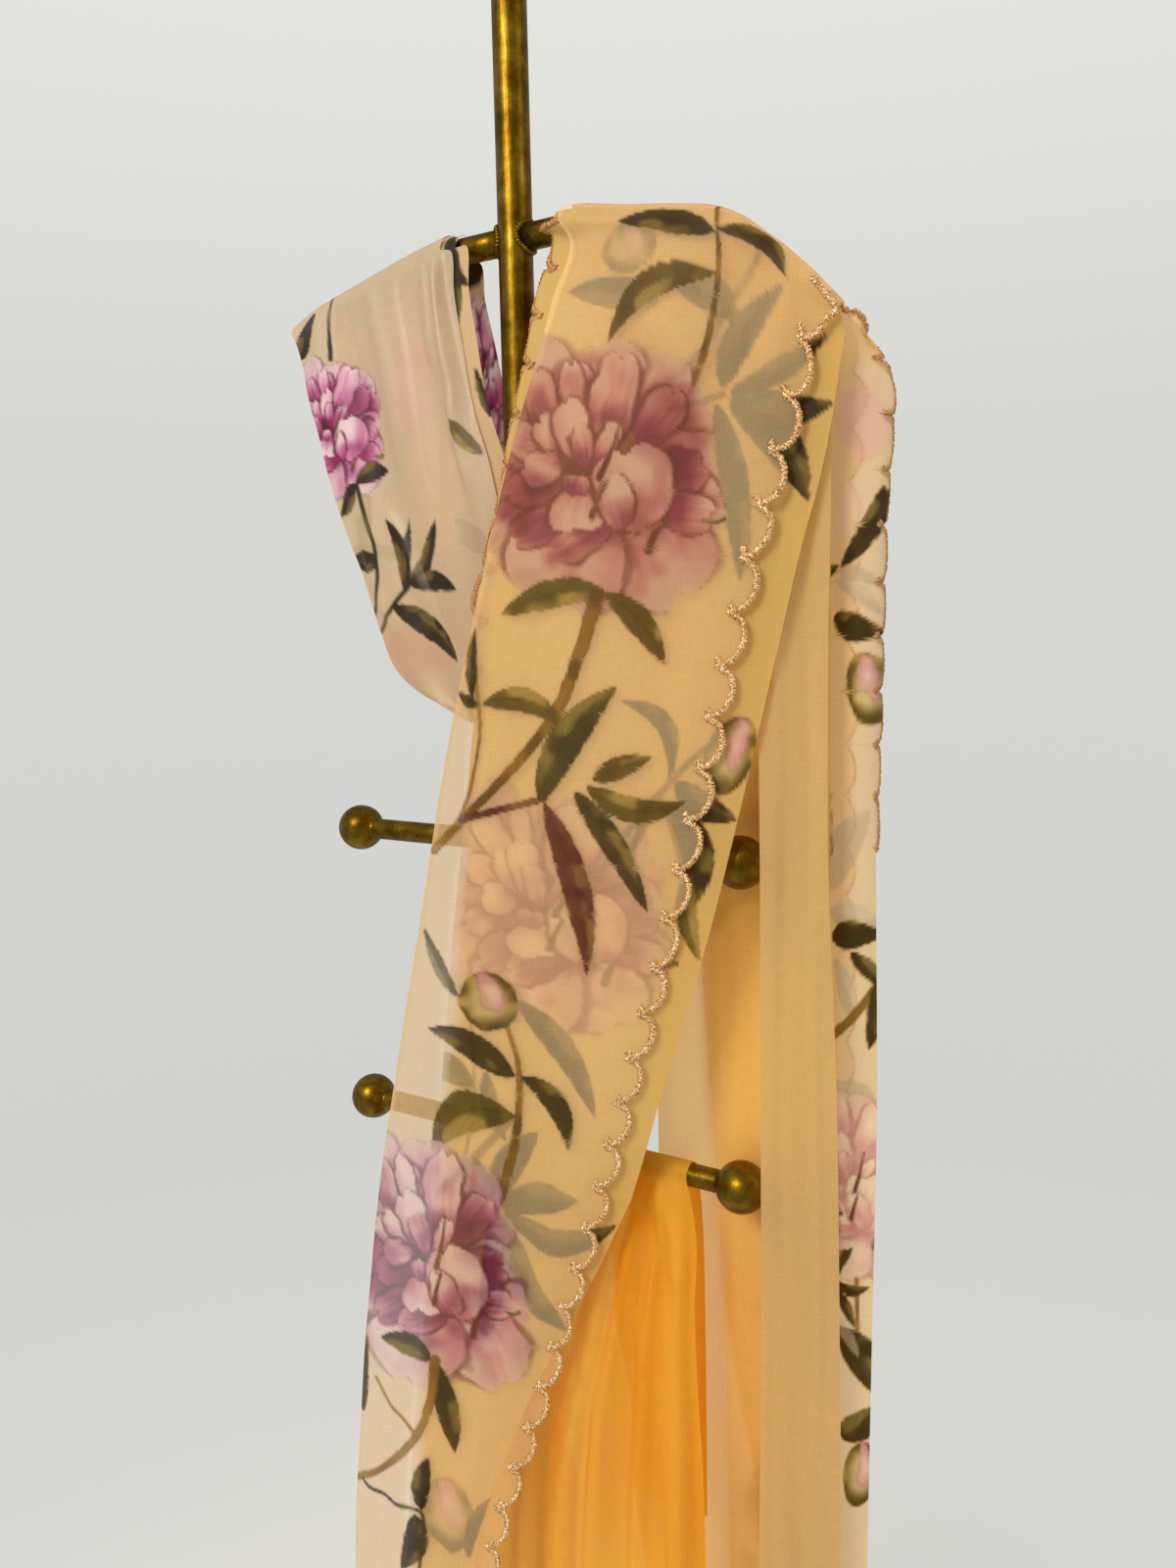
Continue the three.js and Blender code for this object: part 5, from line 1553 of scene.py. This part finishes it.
def inner_plies(dye, across, rows):
    """One pale ply at the left edge, doubled gold in the middle, and a golden tone low down."""
    inside = dye.from_left() + 5 * (cloud(dye.s, dye.y, 60, 4) - 0.5)
    ply = np.interp(dye.y, (500, 650, 800, 1150, 1500), (88, 80, 60, 50, 30))
    pale = 1 - soft_step(-3, 3, inside - ply)
    dye.lay_all(0.8 * soft_step(960, 800, dye.y), "ECBC5C")
    dye.lay_all(pale, "FBD486")
    dye.cover += (0.92 - dye.cover) * pale
    dye.cover += 0.25 * (1 - soft_step(3.0, 4.0, inside))


def outer_plies(dye, across, rows):
    """The outer layer alone would be see-through: its fold at the left is doubled cloth."""
    share = across.ravel()
    single = 1 - soft_step(-0.02, 0.05, share - at_row(under_edges)(rows.ravel()))
    dye.lay_all(single, "E6C28C")
    dye.cover += 0.24 * single + 0.2 * (1 - soft_step(0.012, 0.02, share))
    lay_print(dye, OUTER_PRINT)


def under_plies(dye, across, rows):
    """Print, and a margin that thins out where its own edge lies single under the outer layer."""
    lay_print(dye, UNDER_PRINT)
    thin = (1 - soft_step(0, 15, dye.from_left())) * soft_step(1210, 1150, dye.y)
    dye.cover *= 1 - 0.6 * thin


def bunch_folds(dye, across, rows):
    """Gathered cloth: deep orange bands, partly where plies lie close and partly painted shade in the folds,
    and a paler ply hangs over its left part, with a painted highlight along its edge.
    """
    a = across.ravel()
    # Deep orange bands along the gathers: partly denser plies, partly painted shade in the folds
    wave = np.cos((a + 0.012 * np.sin(dye.y / 70)) * BUNCH_GATHERS * np.pi + 0.9)
    streak = cloud(a * 8, dye.y / 420, 1.0, 6)
    dye.lay_all(0.8 * soft_step(0.2, 0.9, 0.5 + 0.22 * wave + 0.6 * (streak - 0.5)), "EA9800")
    dye.lay_all(0.35 * soft_step(0.6, 0.9, cloud(a * 11, dye.y / 500, 1.0, 9)), "F4C060")
    ply_edge = np.interp(dye.y, (300, 595, 714, 817, 900), (118, 106, 93, 79, 72))
    past = dye.s - ply_edge
    front = soft_step(-6, 6, dye.y - 60) * (rows.ravel() > BUNCH_CROWN)
    dye.lay_all(0.5 * (1 - soft_step(-1.2, 1.2, past)) * front, "F8BE50")
    # Painted highlight: a thin pale line along the ply's edge
    dye.lay_all(0.22 * np.exp(-past ** 2) * front, "FFD488")
    dye.lay_all(0.5 * (1 - soft_step(-1.5, 1.5, past + SECOND_PLY)) * front, "FBA640")
    dye.lay_all(0.3 * soft_step(700, 450, dye.y), "F3BE60")


def back_plies(dye, across, rows):
    """A second ply lies inside the margin; its scalloped edge shows through as a faint line."""
    inside = (1 - across.ravel()) * STRIP_WIDTH
    edge = 8 + 9 * (1 - np.abs(np.sin((dye.y - 8) / SCALLOP_PITCH * np.pi)))
    ends = soft_step(880, 940, dye.y)
    dye.cover += 0.14 * soft_step(-0.6, 0.6, inside - edge) * ends
    dye.lay_all(0.8 * ends * np.exp(-((inside - edge) / 1.1) ** 2), "C88E44", 0.95)
    dye.lay_all(0.8 * soft_step(1470, 1500, dye.y), "FACC84", 0.95)
    lay_blots(dye, BACK_BLOTS)
    lay_print(dye, BACK_PRINT)


def swag_shades(dye, across, rows):
    """Faint flowers from the swag's other side, and painted shade: a browner tone towards the bottom."""
    lay_blots(dye, SWAG_BLOTS)
    # Painted shade: the swag darkens from 1420 mm downwards
    dye.lay_all(0.5 * soft_step(1420, 1240, dye.y), "BE9468")
    lay_print(dye, SWAG_PRINT)


# %% [markdown]
# ## Building the sheets
# A sheet is built in one go: its grid, its flat map, its dye, its creases and then its mesh. The print
# needs a grid of about 2 mm, so that its edges stay crisp; plain cloth gets by with 5 mm.

# %% Sheets of cloth
PRINT_STEP = 1.9
# Lower down the margins of these two are folded in, so no scallops show there
UNDER_LAST_LOBE, BACK_LAST_LOBE = 12, 12
PLAIN_STEP = 5.0


def build_sheet(name, rows_given, columns, material, colour, cover, left=always(0), right=always(1),
                pitch=SCALLOP_PITCH, crest=crest_count, step=PRINT_STEP, way=PEG_WAY, scalloped=None,
                front=True, paint=None, creases=None, stop_rows=(), last_lobe=math.inf):
    surface = drape(rows_given)
    edge = {"right": right, "left": left, None: always(0.5)}[scalloped]
    stops = rows_by_pitch(surface, edge, len(rows_given), pitch, crest)
    stops = sorted(set(stops) | set(stop_rows))
    across, rows = sheet_grid(
        surface, stops, left, right, step, columns, scalloped, crest - 1, last_lobe,
    )
    past_crest = crest_count - 1
    flat = flat_map(surface(across, rows), rows if crest > 1 else rows * 0 + past_crest, way)
    dye = Dye(flat, colour, cover)
    if paint is not None:
        paint(dye, across, rows)
    relief = None if creases is None else creases(flat, across, rows)
    piece, places, toward = cloth_piece(
        name, surface, across, rows, flat, material, dye.ink, dye.cover, relief, front,
    )
    # The sides' product ignores the grid's slant, so a slanted sheet comes out a little too large
    wide = np.linalg.norm(np.diff(places, axis=1), axis=-1)
    long = np.linalg.norm(np.diff(places, axis=0), axis=-1)
    area = float((((wide[1:] + wide[:-1]) / 2) * ((long[:, 1:] + long[:, :-1]) / 2)).sum()) * MM ** 2
    print(name, across.shape, "area m2", round(area, 4))
    return {"piece": piece, "places": places, "toward": toward, "stops": stops, "rows": rows,
            "area": area}


def printed_with(motifs):
    return lambda dye, across, rows: lay_print(dye, motifs)


plain = {"step": PLAIN_STEP}
swag_pitch = {"pitch": 0.8 * SCALLOP_PITCH}
outer = build_sheet(
    "pallu_outer", front_rows(0), 110, printed_organza, "FADAA2", 0.42, right=at_row(outer_edges),
    way=FRONT_WAY, scalloped="right", paint=outer_plies, creases=creased(OUTER_CREASES),
)
under = build_sheet(
    "pallu_under", front_rows(LAYER), 104, printed_organza, "DCB668", 0.985, at_row(under_edges),
    under_fold, way=FRONT_WAY, scalloped="left", last_lobe=UNDER_LAST_LOBE, paint=under_plies,
    creases=creased(UNDER_CREASES, 0.6, 5),
)
band = build_sheet(
    "body_band", [band_row(v) for v in BAND_FALL], 34, plain_organza, "E3C180", 0.95, crest=1,
    pitch=2 * SCALLOP_PITCH, way=FRONT_WAY, creases=creased(BAND_CREASES, 0.5, 6), **plain,
)
back = build_sheet(
    "pallu_behind", back_rows(BACK_FALL, 0), 100, printed_organza, "E6C284", 0.82,
    right=at_row(BACK_EDGES), scalloped="right", front=False, paint=back_plies,
    creases=creased(BACK_CREASES, UNEVENNESS, 7), last_lobe=BACK_LAST_LOBE,
)
inner = build_sheet(
    "body_lining_fall", back_rows(INNER_FALL, LAYER), 110, plain_organza, "FFD878", 0.95,
    right=always(0.9), pitch=1.5 * SCALLOP_PITCH, front=False, paint=inner_plies,
    creases=creased(INNER_CREASES, UNEVENNESS, 8), **plain,
)
bunch = build_sheet(
    "body_gathers", bunch_rows(), 180, orange_organza, "F6BC40", 0.99, crest=1,
    pitch=2 * SCALLOP_PITCH, paint=bunch_folds,
    creases=lambda flat, across, rows: crease_relief(flat, BUNCH_CREASES, 0.5, 4) * (rows > BUNCH_FREE),
    stop_rows=[i + len(BUNCH_BACK) for i in range(len(BUNCH_TURNS))], **plain,
)
swag = build_sheet(
    "swag_outer", swag_rows(1, 0, 0), 110, satin_print, "CFB898", 0.98, paint=swag_shades,
    creases=creased(SWAG_CREASES, 0.5, 9, floor=-0.9), **swag_pitch,
)
swag_inside = build_sheet(
    "swag_fold", swag_rows(1, SWAG_LAYER, 0), 30, satin_print, "D9B888", 0.97,
    always(SWAG_INNER_SHARE), always(1 + SWAG_INNER_REACH), paint=printed_with(SWAG_FOLD_PRINT),
    **swag_pitch,
)
swag_behind = build_sheet(
    "swag_behind", swag_rows(-1, 0, SWAG_BACK_LIFT), 84, satin_print, "D9B888", 0.97, step=2.6,
    front=False, paint=printed_with(SWAG_BACK_PRINT), **swag_pitch,
)

# %% [markdown]
# ## The embroidered scallops
# A machine sews the edge before the cloth is cut along it: close satin stitches across the edge, with a
# short tail inwards at each cusp. Geometry Nodes do the same. The edge of each sheet gives one line per
# scallop, with the cloth's facing kept on its points. Along it, stitches are set at an even pitch,
# turned across the line, and a fixed seed varies their size and slant a little.

# %% Scallop stitches
STITCH_PITCH, STITCH_LENGTH, STITCH_THICK = 1.15, 6.2, 1.6
TAIL_COLUMNS = (6, 4, 2)
GLINT_MM = 1.1
STITCH_LIFT = 0.5
stitch_tree, given = bead_tree("scallop stitches", {
    "Pitch": "Float", "Length": "Float", "Thick": "Float", "Seed": "Int", "Thread": "Material",
})
facing = node(stitch_tree, "GeometryNodeInputNamedAttribute", {"data_type": "FLOAT_VECTOR"}, Name="facing")
along_line = node(stitch_tree, "GeometryNodeInputTangent")
faced = node(
    stitch_tree, "FunctionNodeAlignRotationToVector", {"axis": "Z"}, Vector=facing.outputs["Attribute"],
)
turned_across = node(
    stitch_tree, "FunctionNodeAlignRotationToVector", {"axis": "X", "pivot_axis": "Z"},
    Rotation=faced.outputs[0], Vector=along_line.outputs[0],
)
slanted = node(
    stitch_tree, "FunctionNodeRotateRotation", {"rotation_space": "LOCAL"},
    Rotation=turned_across.outputs[0],
    Rotate_By=random_vector(stitch_tree, (-0.15, -0.1, -0.22), (0.15, 0.1, 0.22), given["Seed"]),
)
half_thick, half_long = (
    node(stitch_tree, "ShaderNodeMath", {"operation": "MULTIPLY"}, _0=given[key], _1=0.5).outputs[0]
    for key in ("Thick", "Length")
)
size = node(stitch_tree, "ShaderNodeCombineXYZ", X=half_thick, Y=half_long, Z=half_thick)
scale = node(
    stitch_tree, "ShaderNodeVectorMath", {"operation": "MULTIPLY"}, _1=size.outputs[0],
    _0=random_vector(stitch_tree, (0.85, 0.78, 0.7), (1.15, 1.15, 1.3), given["Seed"]),
)
set_along(
    stitch_tree, given["Geometry"], given["Pitch"],
    node(stitch_tree, "GeometryNodeMeshUVSphere", Segments=6, Rings=3, Radius=1.0),
    slanted.outputs[0], scale.outputs[0], given["Thread"],
)


def thread_material(name, tones, metallic):
    """Thread in small random spots of several tones; a near-white tone, where given, paints foil's glints."""
    material, tree = new_material(name)
    place = node(tree, "ShaderNodeTexCoord")
    spots = node(
        tree, "ShaderNodeTexNoise", Vector=place.outputs["Object"], Scale=1 / (GLINT_MM * MM),
        Detail=1.0,
    )
    colour = colour_ramp(tree, spots.outputs["Fac"], list(zip((0.32, 0.45, 0.56, 0.66), tones)))
    shader = node(
        tree, "ShaderNodeBsdfPrincipled", Base_Color=colour, Metallic=metallic, Roughness=0.34,
    )
    node(tree, "ShaderNodeOutputMaterial", Surface=shader.outputs[0])
    return material


# Pale foil yarn on the outer edge, its near-white spots painted glints; browner yarn on the edges that turn
# away
pale_foil = thread_material("pale gold foil thread", ("94642F", "C89450", "E6BC7C", "FFF0D8"), 0.35)
copper_yarn = thread_material("copper brown thread", ("8A5A2A", "B07A3E", "D2A266", "B07C58"), 0.2)


def sew_edge(name, made, column, thread, seed, last_lobe=None, tail=TAIL_COLUMNS):
    """Stitches along the grid's last (-1) or first (0) column, one line for each scallop."""
    places, toward, rows = made["places"], made["toward"], made["rows"][:, 0]
    inward = -1 if column == -1 else 1
    lines, facings = [], []
    for a, b in list(zip(made["stops"], made["stops"][1:]))[crest_count - 1:last_lobe]:
        i, j = int(np.argmin(np.abs(rows - a))), int(np.argmin(np.abs(rows - b)))
        picks = [(max(i - k // 2, 0), column + inward * k) for k in tail]
        picks += [(k, column) for k in range(i, j + 1, 2)]
        if picks[-1] != (j, column):
            picks.append((j, column))
        here, there = (np.array(v) for v in zip(*picks))
        lines.append(places[here, there] + toward[here, there] * STITCH_LIFT)
        facings.append(toward[here, there])
    carrier = curve_mesh(name + " lines", lines, False, {"facing": np.concatenate(facings)})
    piece = run_nodes(
        carrier, stitch_tree,
        {"Pitch": STITCH_PITCH * MM, "Length": STITCH_LENGTH * MM, "Thick": STITCH_THICK * MM,
         "Seed": seed, "Thread": thread}, name, thread,
    )
    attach(piece, "root")
    triangles = sum(len(face.vertices) - 2 for face in piece.data.polygons)
    print(name, len(lines), "scallops,", triangles, "triangles")


sew_edge("edge_stitches_outer", outer, -1, pale_foil, 11)
sew_edge("edge_stitches_under", under, 0, copper_yarn, 12, UNDER_LAST_LOBE, (3,))
sew_edge("edge_stitches_back", back, -1, copper_yarn, 13, BACK_LAST_LOBE, (2,))

# %% [markdown]
# ## Which solid each sheet stands for, and the length of its cut
# Each sheet rides on the rack's one body and takes its solid's place. The length of its cut is typed
# from the heights of the crest and the hem; the three of the swag are a little short. The width is the
# modelled sheet's own area over that length, so it isn't a second, independent measure of the cut.

# %% Frame calls
REPLACED = [
    (outer, ["pallu_outer_front"], "organza_print", 1.56, "hung", ["top_arm_near"]),
    (under, ["pallu_under_front"], "organza_print", 1.55, "hung", ["top_arm_near"]),
    (band, ["body_band_front"], "organza_plain", 1.44, "hung", ["pallu_under"]),
    (back, ["pallu_back"], "organza_print", 1.55, "hung", ["top_arm_near"]),
    (inner, ["body_inner"], "organza_plain", 1.55, "hung", ["top_arm_near"]),
    (bunch, ["body_gathered"], "organza_orange", 1.2, "gathered", ["peg_low_near"]),
    (swag, ["swag_front"], "satin_print", 0.36, "draped", ["top_arm_far"]),
    (swag_inside, ["swag_inner"], "satin_print", 0.33, "draped", ["top_arm_far"]),
    (swag_behind, ["swag_back"], "satin_print", 0.32, "draped", ["top_arm_far"]),
]
for made, nodes, slot, length, held, rests_on in REPLACED:
    piece = made["piece"]
    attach(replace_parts(piece, *nodes), "root")
